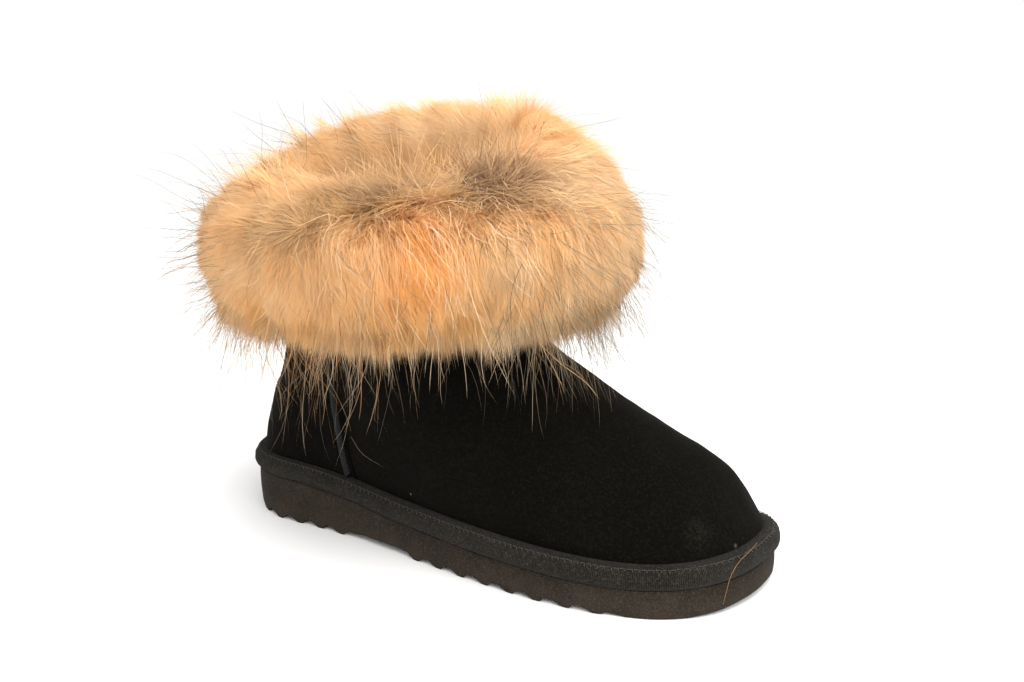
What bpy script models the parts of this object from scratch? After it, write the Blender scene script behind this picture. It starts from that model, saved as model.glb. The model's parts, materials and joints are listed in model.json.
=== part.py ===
"""A short sheepskin boot with a deep fur cuff, for the right foot, at its real size in metres.

+X runs from heel to toe, +Y to the inner side of the foot and +Z up. The origin is on the floor,
under the heel. Places along the boot are measured from the back of the sole. Tables hold shares
of the named sizes, a row for each section.
"""
from collections import namedtuple
import math
import bmesh
import bpy
import numpy as np

# Plan of the sole
LENGTH = 0.265
HEEL_WIDTH = 0.0755
WAIST_WIDTH = 0.0755
BALL_WIDTH = 0.0953
TOE_WIDTH = 0.0820
HEEL_ROUND = 0.040
TOE_ROUND = 0.040
ROUNDNESS = 2.25
TIP_SWING = 0.0102
SWING_START = 0.68

# Outsole: thickness at each place, lugs and the raised arch
HEEL_THICK = 0.0219
WAIST_THICK = 0.0159
BALL_THICK = 0.0128
TOE_THICK = 0.0107
TOE_SPRING = 0.0030
ARCH_RISE = 0.0030
LUG_PITCH = 0.0133
LUG_DEPTH = 0.0026
LUG_LAND = 0.0030
HEEL_LUG_START = 0.0068
HEEL_LUGS = 6
FORE_LUG_START = 0.1229
FORE_LUGS = 8
SIDE_BULGE = 0.0004

# Midsole and the binding round its edge
BINDING_HEIGHT = 0.0092
BINDING_REACH = 0.0025
BINDING_WALL = 0.0012
BINDING_LIP = 0.0045
GAP = 0.0003

# Insole and upper
INSOLE_THICK = 0.0040
INSOLE_EASE = 0.0016
UPPER_WALL = 0.0025
ANKLE_WIDTH = 0.0820
INSTEP_RISE = 0.0750
SHAFT_RISE = 0.0520
HEEL_LEAN = 0.0212

# Counter and side seams, raised on the upper
OVERLAY_THICK = 0.0011
OVERLAY_GAP = 0.0004
SEAM_WIDTH = 0.0032
SEAM_FOOT = 0.0770
SEAM_TOP = 0.0705

# Fur cuff
FUR_DEPTH = 0.0410
FUR_CROWN = 0.0465
FUR_BACK_FALL = 0.0060
FUR_OUTER_FALL = 0.0270
FUR_DROP = 0.0420
FUR_FORWARD = 0.0070
INSTEP_LIFT = 0.0040
LOCK_LENGTH = 0.0140

# The origin lies under the third heel lug
ORIGIN_FROM_BACK = HEEL_LUG_START + 2 * LUG_PITCH - LUG_LAND / 2

# How finely the outlines are parted
AROUND = 56
OUTLINE_STEPS = 400
HEEL_STEPS = 8
TOE_STEPS = 10
LEAST_STEP = 0.0012
SHARP_ANGLE = math.radians(40)

SolePlan = namedtuple("SolePlan", "along width outer inner")
SOLE_PLAN = (
    SolePlan(0.00, HEEL_WIDTH, 0.500, 0.500),
    SolePlan(0.14, HEEL_WIDTH, 0.500, 0.500),
    SolePlan(0.28, HEEL_WIDTH, 0.500, 0.472),
    SolePlan(0.42, WAIST_WIDTH, 0.550, 0.450),
    SolePlan(0.58, BALL_WIDTH, 0.488, 0.425),
    SolePlan(0.70, BALL_WIDTH, 0.507, 0.490),
    SolePlan(0.80, BALL_WIDTH, 0.497, 0.485),
    SolePlan(0.90, TOE_WIDTH, 0.535, 0.465),
    SolePlan(1.00, TOE_WIDTH, 0.535, 0.465),
)

SoleTop = namedtuple("SoleTop", "along height")
SOLE_TOP = (
    SoleTop(0.00, HEEL_THICK),
    SoleTop(0.15, HEEL_THICK),
    SoleTop(0.42, WAIST_THICK),
    SoleTop(0.72, BALL_THICK),
    SoleTop(0.88, 0.5 * BALL_THICK + 0.5 * TOE_THICK + 0.1 * TOE_SPRING),
    SoleTop(1.00, TOE_THICK + TOE_SPRING),
)

# One lug, from the flat land at its tip to the next: place as a share of the pitch, height of the depth
Lug = namedtuple("Lug", "along height")
LUG_FORM = (
    Lug(0.00, 0.0),
    Lug(0.22, 1.0),
    Lug(0.48, 0.75),
)

Arch = namedtuple("Arch", "along height")
ARCH_FORM = (
    Arch(0.06, 0.70),
    Arch(0.30, 0.95),
    Arch(0.55, 1.00),
    Arch(0.78, 0.95),
    Arch(0.90, 0.85),
)

ToeBottom = namedtuple("ToeBottom", "along height")
TOE_BOTTOM = (
    ToeBottom(0.20, 0.00),
    ToeBottom(0.42, 0.00),
    ToeBottom(0.66, 0.12),
    ToeBottom(0.85, 0.50),
    ToeBottom(1.00, 1.00),
)

# The outsole's side wall: how far it stands out, as a share of the bulge, and its height
Wall = namedtuple("Wall", "out rise")
WALL_FORM = (
    Wall(-2.0, 0.00),
    Wall(1.0, 0.10),
    Wall(1.0, 0.60),
    Wall(0.0, 1.00),
)

# The binding's section: how far it stands out, its height, and a share of the lip's reach inwards
Binding = namedtuple("Binding", "out lip height")
BINDING_FORM = (
    Binding(0.10, 0.00, 0.00),
    Binding(0.75, 0.00, 0.18),
    Binding(1.00, 0.00, 0.42),
    Binding(0.80, 0.00, 0.68),
    Binding(0.00, 0.08, 0.90),
    Binding(0.00, 1.00, 1.00),
)

# The midsole's edge inside the binding: foot and top set in by shares of the binding's wall and lip
MIDSOLE_FOOT_IN = 0.75
MIDSOLE_TOP_IN = 0.72
MIDSOLE_SHOULDER = 0.62

# The insole's edge: how far it is set in and its height, both as shares of its thickness
Pad = namedtuple("Pad", "inward rise")
INSOLE_FORM = (
    Pad(0.10, 0.00),
    Pad(0.00, 0.30),
    Pad(0.00, 0.75),
    Pad(0.30, 1.00),
)

# Sections of the upper from the feather line to the collar. instep and shaft are shares of the rises,
# back of the lean, front of the foot's length, and foot says how much of the sole's own shape, swing
# and slope is left: the rest is the ankle's oval. The widths trim that shape from heel to toe.
Section = namedtuple("Section", "instep shaft back front heel waist ball toe foot")
UPPER = (
    Section(0.00, 0.00, 0.00, 1.000, 1.00, 1.00, 1.00, 1.00, 1.00),
    Section(0.03, 0.00, 0.00, 1.000, 1.00, 1.00, 1.00, 1.00, 1.00),
    Section(0.11, 0.00, 0.10, 0.988, 1.00, 1.03, 1.01, 0.96, 0.97),
    Section(0.21, 0.00, 0.17, 0.971, 0.99, 1.05, 1.00, 0.94, 0.92),
    Section(0.31, 0.00, 0.24, 0.948, 0.97, 1.05, 0.97, 0.89, 0.86),
    Section(0.41, 0.00, 0.34, 0.907, 0.95, 1.04, 0.94, 0.83, 0.80),
    Section(0.51, 0.00, 0.44, 0.852, 0.93, 1.03, 0.91, 0.78, 0.72),
    Section(0.62, 0.00, 0.55, 0.790, 0.91, 1.00, 0.88, 0.75, 0.62),
    Section(0.74, 0.00, 0.66, 0.721, 0.90, 0.98, 0.85, 0.73, 0.52),
    Section(0.87, 0.00, 0.76, 0.651, 0.91, 0.97, 0.84, 0.74, 0.42),
    Section(1.00, 0.00, 0.84, 0.600, 0.93, 0.97, 0.87, 0.79, 0.30),
    Section(1.00, 0.22, 0.90, 0.580, 0.96, 0.98, 0.93, 0.88, 0.18),
    Section(1.00, 0.45, 0.95, 0.572, 0.99, 0.99, 0.97, 0.95, 0.09),
    Section(1.00, 0.72, 0.98, 0.570, 1.00, 1.00, 1.00, 1.00, 0.03),
    Section(1.00, 1.00, 1.00, 0.570, 1.00, 1.00, 1.00, 1.00, 0.00),
)
WIDTH_PLACES = (0.12, 0.42, 0.70, 0.90)
FUR_ROOT_ROW = 12
COUNTER_TOP_ROW = 6
SEAM_TOP_ROW = 11
COUNTER_COLUMNS = 8
SEAM_CREST = 0.6

# Sections of the fur from its root on the ankle, under and round the outside to the mouth of the boot.
# out is a share of the fur's depth and trim what the back of the ring has less of it, crown and drop are
# shares of its heights over and under the collar, lift says how much of the instep's lift it takes.
Fur = namedtuple("Fur", "out trim crown drop lift")
FUR_FORM = (
    Fur(0.28, 0.00, 0.00, 0.90, 1.00),
    Fur(0.56, 0.00, 0.00, 1.00, 1.00),
    Fur(0.81, 0.00, 0.00, 0.92, 0.90),
    Fur(0.97, 0.00, 0.00, 0.67, 0.60),
    Fur(1.05, 0.02, 0.00, 0.37, 0.30),
    Fur(1.06, 0.05, 0.00, 0.06, 0.10),
    Fur(1.00, 0.09, 0.21, 0.00, 0.00),
    Fur(0.86, 0.12, 0.44, 0.00, 0.00),
    Fur(0.66, 0.09, 0.68, 0.00, 0.00),
    Fur(0.42, 0.04, 0.91, 0.00, 0.00),
    Fur(0.14, 0.00, 1.00, 0.00, 0.00),
    Fur(-0.05, 0.00, 0.70, 0.00, 0.00),
)
LOCK_ROWS = range(0, 9)
HANGING_ROWS = 3

# A lock from its bend to its tip: how far out and how far along its hang, in shares of its length, and
# its width as a share of its foot. Sway and vary say how much the locks differ from each other.
Lock = namedtuple("Lock", "out hang width")
LOCK_BEND = Lock(0.30, 0.34, 0.66)
LOCK_TIP = Lock(0.38, 0.90, 0.00)
LOCK_SWAY = 0.22
LOCK_VARY = 0.22
SWAY_STEP = 1.3
VARY_STEP = 2.1


def smooth(at, places, values):
    """Values of the smooth curve through a table's rows."""
    at = np.clip(at, places[0], places[-1])
    places = np.asarray(places, float)
    values = np.asarray(values, float)
    slopes = np.gradient(values, places)
    row = np.clip(np.searchsorted(places, at) - 1, 0, len(places) - 2)
    step = places[row + 1] - places[row]
    u = (at - places[row]) / step
    start = (2 * u**3 - 3 * u**2 + 1) * values[row] + (u**3 - 2 * u**2 + u) * step * slopes[row]
    end = (3 * u**2 - 2 * u**3) * values[row + 1] + (u**3 - u**2) * step * slopes[row + 1]
    return start + end


def column(table, name):
    return [getattr(row, name) for row in table]


def round_end(share):
    """Share of the full width near a round end: 0 at its tip and 1 where the round is over."""
    share = np.clip(share, 0.0, 1.0)
    return (1 - (1 - share) ** ROUNDNESS) ** (1 / ROUNDNESS)


def swing(x):
    """How far the sole's middle line has swung to the inner side."""
    return TIP_SWING * np.clip((x / LENGTH - SWING_START) / (1 - SWING_START), 0, 1) ** 2


def sole_side(x, side):
    """Points of one side of the sole's outline: side is -1 on the outer side, 1 on the inner."""
    reach = column(SOLE_PLAN, "outer" if side < 0 else "inner")
    widths = np.array(reach) * np.array(column(SOLE_PLAN, "width"))
    half = smooth(x / LENGTH, column(SOLE_PLAN, "along"), widths)
    half = half * round_end(x / HEEL_ROUND) * round_end((LENGTH - x) / TOE_ROUND)
    return np.column_stack([x, swing(x) + side * half])


def sole_loop(outer_x, inner_x):
    """Closed outline: heel, outer side, toe, inner side. Both lists of places run from heel to toe."""
    outer = sole_side(np.asarray(outer_x), -1)
    inner = sole_side(np.asarray(inner_x), 1)
    return np.concatenate([outer, inner[-2:0:-1]])


def even_places(side, count):
    """Places along the sole that part one side of its outline into equal lengths."""
    x = LENGTH * (1 - np.cos(np.linspace(0, np.pi, OUTLINE_STEPS))) / 2
    points = sole_side(x, side)
    run = np.concatenate([[0], np.cumsum(np.linalg.norm(np.diff(points, axis=0), axis=1))])
    return np.interp(np.linspace(0, run[-1], count), run, x)


def even_loop():
    half = AROUND // 2 + 1
    return sole_loop(even_places(-1, half), even_places(1, half))


def outward(loop):
    """Level normals of a closed loop that runs heel, outer side, toe, inner side."""
    along = np.roll(loop, -1, axis=0)[:, :2] - np.roll(loop, 1, axis=0)[:, :2]
    along = along / np.linalg.norm(along, axis=1)[:, None]
    return np.column_stack([along[:, 1], -along[:, 0]])


def moved_out(loop, by):
    moved = np.array(loop, float)
    moved[:, :2] += outward(loop) * np.reshape(by, (-1, 1))
    return moved


def at_height(loop, height):
    return np.column_stack([loop[:, :2], np.broadcast_to(height, len(loop))])


def sole_top(x):
    return smooth(np.asarray(x) / LENGTH, column(SOLE_TOP, "along"), column(SOLE_TOP, "height"))


def lug_points(start, count):
    """Places and heights of the break lines of a row of lugs."""
    points = []
    for number in range(count):
        tip = start + number * LUG_PITCH
        points.append((tip - LUG_LAND, 0.0))
        if number < count - 1:
            points += [(tip + row.along * LUG_PITCH, row.height * LUG_DEPTH) for row in LUG_FORM]
        else:
            points.append((tip, 0.0))
    return points


def sole_bottom():
    """Break lines of the sole's underside from heel to toe: lugs, raised arch, lugs, toe."""
    heel = lug_points(HEEL_LUG_START, HEEL_LUGS)
    fore = lug_points(FORE_LUG_START, FORE_LUGS)
    arch_start = heel[-1][0]
    arch_run = fore[0][0] - arch_start
    arch = [(arch_start + row.along * arch_run, row.height * ARCH_RISE) for row in ARCH_FORM]
    toe_start = fore[-1][0]
    toe_run = LENGTH - toe_start
    notch = [(toe_start + LUG_FORM[1].along * LUG_PITCH, LUG_DEPTH / 2)]
    toe = [(toe_start + row.along * toe_run, row.height * TOE_SPRING) for row in TOE_BOTTOM]
    return np.array([(0.0, LUG_DEPTH / 4)] + heel + arch + fore + notch + toe)


def outsole_places(bottom):
    """Break lines of the underside, and more places where the outline turns at heel and toe."""
    heel = HEEL_ROUND * (1 - np.cos(np.linspace(0, math.pi / 2, HEEL_STEPS)))
    toe = LENGTH - TOE_ROUND * (1 - np.cos(np.linspace(0, math.pi / 2, TOE_STEPS)))
    places = list(bottom[:, 0])
    for extra in np.concatenate([heel, toe]):
        if min(abs(extra - place) for place in places) > LEAST_STEP:
            places.append(extra)
    return np.array(sorted(places))


def material(name, colour, roughness):
    made = bpy.data.materials.new(name)
    made.use_nodes = True
    shader = made.node_tree.nodes["Principled BSDF"]
    shader.inputs["Base Color"].default_value = (*colour, 1.0)
    shader.inputs["Roughness"].default_value = roughness
    shader.inputs["Metallic"].default_value = 0.0
    return made


def add_piece(name, points, faces, finish):
    """One closed solid as an object of its own, with its faces pointing outwards."""
    mesh = bpy.data.meshes.new(name)
    mesh.from_pydata([tuple(point) for point in points], [], faces)
    mesh.materials.append(finish)
    form = bmesh.new()
    form.from_mesh(mesh)
    bmesh.ops.recalc_face_normals(form, faces=form.faces)
    form.to_mesh(mesh)
    form.free()
    mesh.shade_smooth()
    mesh.set_sharp_from_angle(angle=SHARP_ANGLE)
    made = bpy.data.objects.new(name, mesh)
    made.location = (-ORIGIN_FROM_BACK, 0.0, 0.0)
    bpy.context.scene.collection.objects.link(made)


def bands(row_count, around, closed):
    """Faces between neighbouring loops; closed also joins the last loop to the first."""
    faces = []
    for row in range(row_count if closed else row_count - 1):
        low = row * around
        high = (row + 1) % row_count * around
        for step in range(around):
            after = (step + 1) % around
            faces.append((low + step, low + after, high + after, high + step))
    return faces


def strip_cap(start, around, single_ends):
    """Closes a loop by joining its two sides. A loop with single ends starts and turns on one point."""
    faces = []
    if single_ends:
        for step in range(around // 2):
            corners = [step, step + 1, (around - step - 1) % around, (around - step) % around]
            faces.append(tuple(start + corner for corner in dict.fromkeys(corners)))
    else:
        for step in range(around // 2 - 1):
            corners = [step, step + 1, around - step - 2, around - step - 1]
            faces.append(tuple(start + corner for corner in corners))
    return faces


def add_stack(name, loops, finish, single_ends=True):
    """A solid lofted through loops, its first and last loop closed across."""
    around = len(loops[0])
    faces = bands(len(loops), around, closed=False)
    faces += strip_cap(0, around, single_ends)
    faces += strip_cap((len(loops) - 1) * around, around, single_ends)
    add_piece(name, np.concatenate(loops), faces, finish)


def add_ring(name, loops, finish):
    """A solid with a hole through it: its loops go round its section and meet again."""
    faces = bands(len(loops), len(loops[0]), closed=True)
    add_piece(name, np.concatenate(loops), faces, finish)


def make_outsole():
    bottom = sole_bottom()
    places = outsole_places(bottom)
    loop = sole_loop(places, places)
    x = np.concatenate([places, places[-2:0:-1]])
    low = np.interp(x, bottom[:, 0], bottom[:, 1])
    top = sole_top(x)
    rise = top - low
    loops = [at_height(moved_out(loop, row.out * SIDE_BULGE), low + row.rise * rise) for row in WALL_FORM]
    add_stack("outsole", loops, material("foam_rubber", (0.045, 0.035, 0.030), 0.85))


def binding_section(row, wall):
    """Place of a row of the binding's section, on its outside or a wall's thickness in."""
    out = row.out * BINDING_REACH - row.lip * BINDING_LIP
    height = row.height * BINDING_HEIGHT + GAP
    if wall == 0:
        return out, height
    inward = 0.0 if row.lip == 1 else wall
    return out - inward, min(max(height, wall + GAP), BINDING_HEIGHT + GAP - wall)


def make_edge_binding():
    loop = even_loop()
    top = sole_top(loop[:, 0])
    outside = [binding_section(row, 0) for row in BINDING_FORM]
    inside = [binding_section(row, BINDING_WALL) for row in reversed(BINDING_FORM)]
    lip = [(-BINDING_LIP, BINDING_WALL + GAP), (-BINDING_LIP, GAP)]
    section = outside + inside + lip
    loops = [at_height(moved_out(loop, out), top + height) for out, height in section]
    add_ring("edge_binding", loops, material("binding_tape", (0.035, 0.032, 0.030), 0.9))


def midsole_top(x):
    return sole_top(x) + BINDING_HEIGHT - BINDING_WALL - GAP


def make_midsole():
    loop = even_loop()
    low = sole_top(loop[:, 0]) + GAP
    high = midsole_top(loop[:, 0])
    step = BINDING_WALL + GAP
    inner = BINDING_LIP + GAP
    side = BINDING_REACH - BINDING_WALL - GAP
    widest = max(BINDING_FORM, key=lambda row: row.out)
    loops = [
        at_height(moved_out(loop, -inner), low),
        at_height(moved_out(loop, -inner), low + step),
        at_height(moved_out(loop, -MIDSOLE_FOOT_IN * BINDING_WALL - GAP), low + step),
        at_height(moved_out(loop, side), low + widest.height * BINDING_HEIGHT),
        at_height(moved_out(loop, -BINDING_WALL - GAP), low + MIDSOLE_SHOULDER * BINDING_HEIGHT),
        at_height(moved_out(loop, -MIDSOLE_TOP_IN * BINDING_LIP), high),
    ]
    add_stack("midsole", loops, material("midsole_foam", (0.05, 0.045, 0.04), 0.8))


def make_insole():
    loop = even_loop()
    seat = midsole_top(loop[:, 0]) + GAP
    inset = -(BINDING_LIP + GAP + UPPER_WALL + INSOLE_EASE)
    loops = [
        at_height(moved_out(loop, inset - row.inward * INSOLE_THICK), seat + row.rise * INSOLE_THICK)
        for row in INSOLE_FORM
    ]
    add_stack("insole", loops, material("insole_fleece", (0.62, 0.52, 0.38), 0.95))


def upper_sections():
    """The upper's outer surface: a loop for each row of the table."""
    foot = moved_out(even_loop(), -(BINDING_LIP + GAP))
    back = foot[0, 0]
    length = foot[:, 0].max() - back
    along = (foot[:, 0] - back) / length
    inner = foot[(-np.arange(AROUND)) % AROUND]
    half = (foot[:, 1] - inner[:, 1]) / 2
    middle = (foot[:, 1] + inner[:, 1]) / 2
    oval = ANKLE_WIDTH / 2 * np.sqrt(np.clip(1 - (2 * along - 1) ** 2, 0, 1)) * np.sign(half)
    seat = midsole_top(foot[:, 0]) + GAP
    level = midsole_top(LENGTH) + GAP
    loops = []
    for row in UPPER:
        widths = [row.heel, row.waist, row.ball, row.toe]
        start = back + row.back * HEEL_LEAN
        end = back + row.front * length
        x = start + along * (end - start)
        shape = half * row.foot + oval * (1 - row.foot)
        y = shape * smooth(along, WIDTH_PLACES, widths) + middle * row.foot
        z = level + (seat - level) * row.foot + row.instep * INSTEP_RISE + row.shaft * SHAFT_RISE
        loops.append(np.column_stack([x, y, z]))
    return np.array(loops)


def surface_normals(sections):
    """Outward normals of a surface given as loops from low to high."""
    around = np.roll(sections, -1, axis=1) - np.roll(sections, 1, axis=1)
    up = np.gradient(sections, axis=0)
    normal = np.cross(around, up)
    return normal / np.linalg.norm(normal, axis=2)[:, :, None]


def upper_surface():
    """The upper's outer surface and its normals, kept level where it is cut off at foot and collar."""
    sections = upper_sections()
    normals = surface_normals(sections)
    for row in (0, 1, len(sections) - 1):
        normals[row, :, 2] = 0
        normals[row] /= np.linalg.norm(normals[row], axis=1)[:, None]
    return sections, normals


def make_upper():
    sections, normals = upper_surface()
    lining = sections - normals * UPPER_WALL
    loops = list(sections) + list(lining[::-1])
    add_ring("upper", loops, material("suede", (0.012, 0.011, 0.011), 0.95))


def seam_place(sections, row):
    """The side seam's place round the upper at a row, counted in columns from the heel."""
    x = SEAM_FOOT + (SEAM_TOP - SEAM_FOOT) * min(row / COUNTER_TOP_ROW, 1)
    half = AROUND // 2 + 1
    return float(np.interp(x, sections[row, :half, 0], np.arange(half)))


def across_upper(surface, row, place):
    """Value of the upper's surface between two of its columns."""
    low = math.floor(place)
    share = place - low
    return (1 - share) * surface[row, low % AROUND] + share * surface[row, (low + 1) % AROUND]


def make_heel_counter():
    """The raised back panel: loops across it, each along its outside and back along its inside."""
    sections, normals = upper_surface()
    loops = []
    for row in range(1, COUNTER_TOP_ROW + 1):
        edge = seam_place(sections, row)
        places = [-edge, *range(-COUNTER_COLUMNS, COUNTER_COLUMNS + 1), edge]
        skin = np.array([across_upper(sections, row, place) for place in places])
        out = np.array([across_upper(normals, row, place) for place in places])
        outside = skin + out * (OVERLAY_GAP + OVERLAY_THICK)
        inside = skin + out * OVERLAY_GAP
        loops.append(np.concatenate([outside, inside[::-1]]))
    add_stack("heel_counter", loops, material("suede_counter", (0.014, 0.013, 0.012), 0.95), False)


def make_side_seam(name, side):
    """A raised seam from the counter's top corner up the shaft, in line with the counter's edge."""
    sections, normals = upper_surface()
    loops = []
    for row in range(COUNTER_TOP_ROW, SEAM_TOP_ROW + 1):
        place = side * seam_place(sections, row)
        centre = across_upper(sections, row, place)
        normal = across_upper(normals, row, place)
        across = np.cross(normal, (0.0, 0.0, 1.0))
        spread = across / np.linalg.norm(across) * SEAM_WIDTH / 2
        foot = centre + normal * OVERLAY_GAP
        crest = foot + normal * OVERLAY_THICK
        crest_spread = SEAM_CREST * spread
        loops.append(np.array([foot - spread, crest - crest_spread, crest + crest_spread, foot + spread]))
    rise = loops[1] - loops[0]
    loops[0] = loops[0] + rise * 2 * GAP / np.linalg.norm(rise[0])
    add_stack(name, loops, material(name + "_suede", (0.016, 0.015, 0.014), 0.95), False)


def fur_loops():
    """Loops of the fur's body: up the outside of the shaft, under its collar's edge and round the pile."""
    sections, normals = upper_surface()
    root = [sections[row] + normals[row] * GAP for row in range(len(UPPER) - 1, FUR_ROOT_ROW - 1, -1)]
    collar = sections[-1]
    out = outward(collar)
    mouth = moved_out(collar, -UPPER_WALL - GAP)
    mouth[:, 2] += GAP
    rim = np.array(root[0])
    rim[:, 2] += GAP
    front = np.clip(out[:, 0], 0, 1) ** 2
    back = np.clip(-out[:, 0], 0, 1) ** 2
    outer = (1 - out[:, 1]) / 2
    crown = FUR_CROWN - FUR_BACK_FALL * back - FUR_OUTER_FALL * outer
    loops = [mouth, rim] + root[1:]
    for row in FUR_FORM:
        loop = moved_out(collar, (row.out - row.trim * back) * FUR_DEPTH)
        loop[:, 0] += FUR_FORWARD * max(row.out, 0)
        loop[:, 2] += row.crown * crown - row.drop * FUR_DROP + row.lift * INSTEP_LIFT * front
        loops.append(loop)
    return loops


def lock_faces(points, corners, number, hangs):
    """Turns one face of the fur into a lock: a tapering tuft that hangs down or lies down the form."""
    base = np.array([points[corner] for corner in corners])
    centre = base.mean(axis=0)
    normal = np.cross(base[2] - base[0], base[3] - base[1])
    normal /= np.linalg.norm(normal)
    aside = (base[1] - base[0]) / np.linalg.norm(base[1] - base[0])
    fall = base[0] + base[1] - base[2] - base[3]
    fall = np.array([0.0, 0.0, -1.0]) if hangs else fall / np.linalg.norm(fall)
    hang = fall + LOCK_SWAY * math.sin(SWAY_STEP * number) * aside
    length = LOCK_LENGTH * (1 + LOCK_VARY * math.sin(VARY_STEP * number))
    bend = centre + length * (LOCK_BEND.out * normal + LOCK_BEND.hang * hang)
    tip = centre + length * (LOCK_TIP.out * normal + LOCK_TIP.hang * hang)
    start = len(points)
    points.extend(bend + LOCK_BEND.width * (corner - centre) for corner in base)
    points.append(tip)
    faces = []
    for step in range(4):
        after = (step + 1) % 4
        faces.append((corners[step], corners[after], start + after, start + step))
        faces.append((start + step, start + after, start + 4))
    return faces


def make_fur_cuff():
    loops = fur_loops()
    first_outer = len(loops) - len(FUR_FORM)
    points = list(np.concatenate(loops))
    faces = []
    for number, corners in enumerate(bands(len(loops), AROUND, closed=True)):
        row, step = divmod(number, AROUND)
        fur_row = row - first_outer
        if fur_row in LOCK_ROWS and (step + fur_row) % 2 == 0:
            faces += lock_faces(points, corners, number, fur_row < HANGING_ROWS)
        else:
            faces.append(corners)
    add_piece("fur_cuff", points, faces, material("fox_fur", (0.72, 0.46, 0.22), 0.7))


def clear_scene():
    for thing in list(bpy.data.objects):
        bpy.data.objects.remove(thing, do_unlink=True)


def main():
    clear_scene()
    make_outsole()
    make_midsole()
    make_edge_binding()
    make_insole()
    make_upper()
    make_heel_counter()
    make_side_seam("side_seam_outer", 1)
    make_side_seam("side_seam_inner", -1)
    make_fur_cuff()


main()
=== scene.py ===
"""Looks of a short suede boot with a deep fur cuff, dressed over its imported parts, in metres.

+X runs from heel to toe, +Y to the inner side of the foot and +Z up. Places along the boot are measured
from the back of the sole, and placed() moves them to the frame. The tables hold shares of the named
sizes, a row for each section.
"""
from collections import namedtuple
import json
import math

import bmesh
import bpy
import numpy as np
from mathutils import Matrix, Vector

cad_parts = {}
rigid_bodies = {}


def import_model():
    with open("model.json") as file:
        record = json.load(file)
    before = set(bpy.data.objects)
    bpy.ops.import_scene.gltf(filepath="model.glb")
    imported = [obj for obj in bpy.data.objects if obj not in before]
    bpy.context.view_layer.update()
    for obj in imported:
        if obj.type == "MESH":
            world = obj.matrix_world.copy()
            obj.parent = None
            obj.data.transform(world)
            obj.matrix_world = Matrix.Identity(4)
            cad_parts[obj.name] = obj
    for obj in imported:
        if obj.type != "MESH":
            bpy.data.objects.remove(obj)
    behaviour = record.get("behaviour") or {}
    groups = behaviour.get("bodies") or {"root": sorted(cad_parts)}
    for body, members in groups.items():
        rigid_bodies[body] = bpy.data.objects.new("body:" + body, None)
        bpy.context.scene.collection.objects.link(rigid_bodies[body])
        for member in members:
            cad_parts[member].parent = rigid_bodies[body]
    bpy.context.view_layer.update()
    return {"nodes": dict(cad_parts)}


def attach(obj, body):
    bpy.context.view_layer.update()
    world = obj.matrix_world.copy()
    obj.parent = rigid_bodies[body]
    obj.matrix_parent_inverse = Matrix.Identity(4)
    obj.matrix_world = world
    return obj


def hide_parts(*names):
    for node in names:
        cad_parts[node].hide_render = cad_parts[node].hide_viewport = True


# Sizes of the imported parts
LENGTH = 0.265
HEEL_WIDTH = 0.0755
WAIST_WIDTH = 0.0755
BALL_WIDTH = 0.0953
TOE_WIDTH = 0.0820
HEEL_ROUND = 0.040
TOE_ROUND = 0.040
ROUNDNESS = 2.25
TIP_SWING = 0.0102
SWING_START = 0.68
HEEL_THICK = 0.0219
WAIST_THICK = 0.0159
BALL_THICK = 0.0128
TOE_THICK = 0.0107
TOE_SPRING = 0.0030
ARCH_RISE = 0.0030
LUG_PITCH = 0.0133
LUG_DEPTH = 0.0026
LUG_LAND = 0.0030
HEEL_LUG_START = 0.0068
HEEL_LUGS = 6
FORE_LUG_START = 0.1229
FORE_LUGS = 8
SIDE_BULGE = 0.0004
BINDING_HEIGHT = 0.0092
BINDING_REACH = 0.0025
BINDING_WALL = 0.0012
BINDING_LIP = 0.0045
GAP = 0.0003
INSOLE_THICK = 0.0040
INSOLE_EASE = 0.0016
UPPER_WALL = 0.0025
ANKLE_WIDTH = 0.0820
INSTEP_RISE = 0.0750
SHAFT_RISE = 0.0520
HEEL_LEAN = 0.0212
OVERLAY_THICK = 0.0011
SEAM_WIDTH = 0.0032
SEAM_FOOT = 0.0770
SEAM_TOP = 0.0705
FUR_DEPTH = 0.0410
FUR_CROWN = 0.0465
FUR_BACK_FALL = 0.0060
FUR_OUTER_FALL = 0.0270
FUR_DROP = 0.0420
FUR_FORWARD = 0.0070
INSTEP_LIFT = 0.0040
ORIGIN_FROM_BACK = HEEL_LUG_START + 2 * LUG_PITCH - LUG_LAND / 2

# Sizes of what the looks add: soft edges, threads, stitches, hide, pile, ribs, and how deep hairs root
EDGE_SOFT = 0.00015
LOW_EDGE_ROUND = 0.0003
TOP_EDGE_ROUND = 0.0007
TAPE_THREAD = 0.00019
TAPE_STITCH_PITCH = 0.0028
SEAM_THREAD = 0.00050
SEAM_STITCH_PITCH = 0.0013
SEAM_STITCH_REACH = 2.4
SEAM_RISE = 0.0015
SUEDE_THICK = 0.0012
PILE_THICK = 0.0004
LAID_ON = 0.00015
COUNTER_LIFT = 0.0003
RIB_PITCH = 0.00068
WEFT_PITCH = 0.00075
SOFT_BEND = 0.0002
COAT_DEPTH = 0.0050
STAND_DEPTH = 0.0040
GUARD_DEPTH = 0.0030
TIP_DROOP = 0.16
LOCK_SIZE = 0.012
LEAN_SIZE = 0.020
CROSSED_WIDTH = 0.011
CREST_LENGTH = (0.010, 0.017)
CREST_WIDTH = (0.00020, 0.00032)
FUR_RING = 0.40
FUR_RUN = 0.075
FLOOR_SIZE = 16.0

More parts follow.
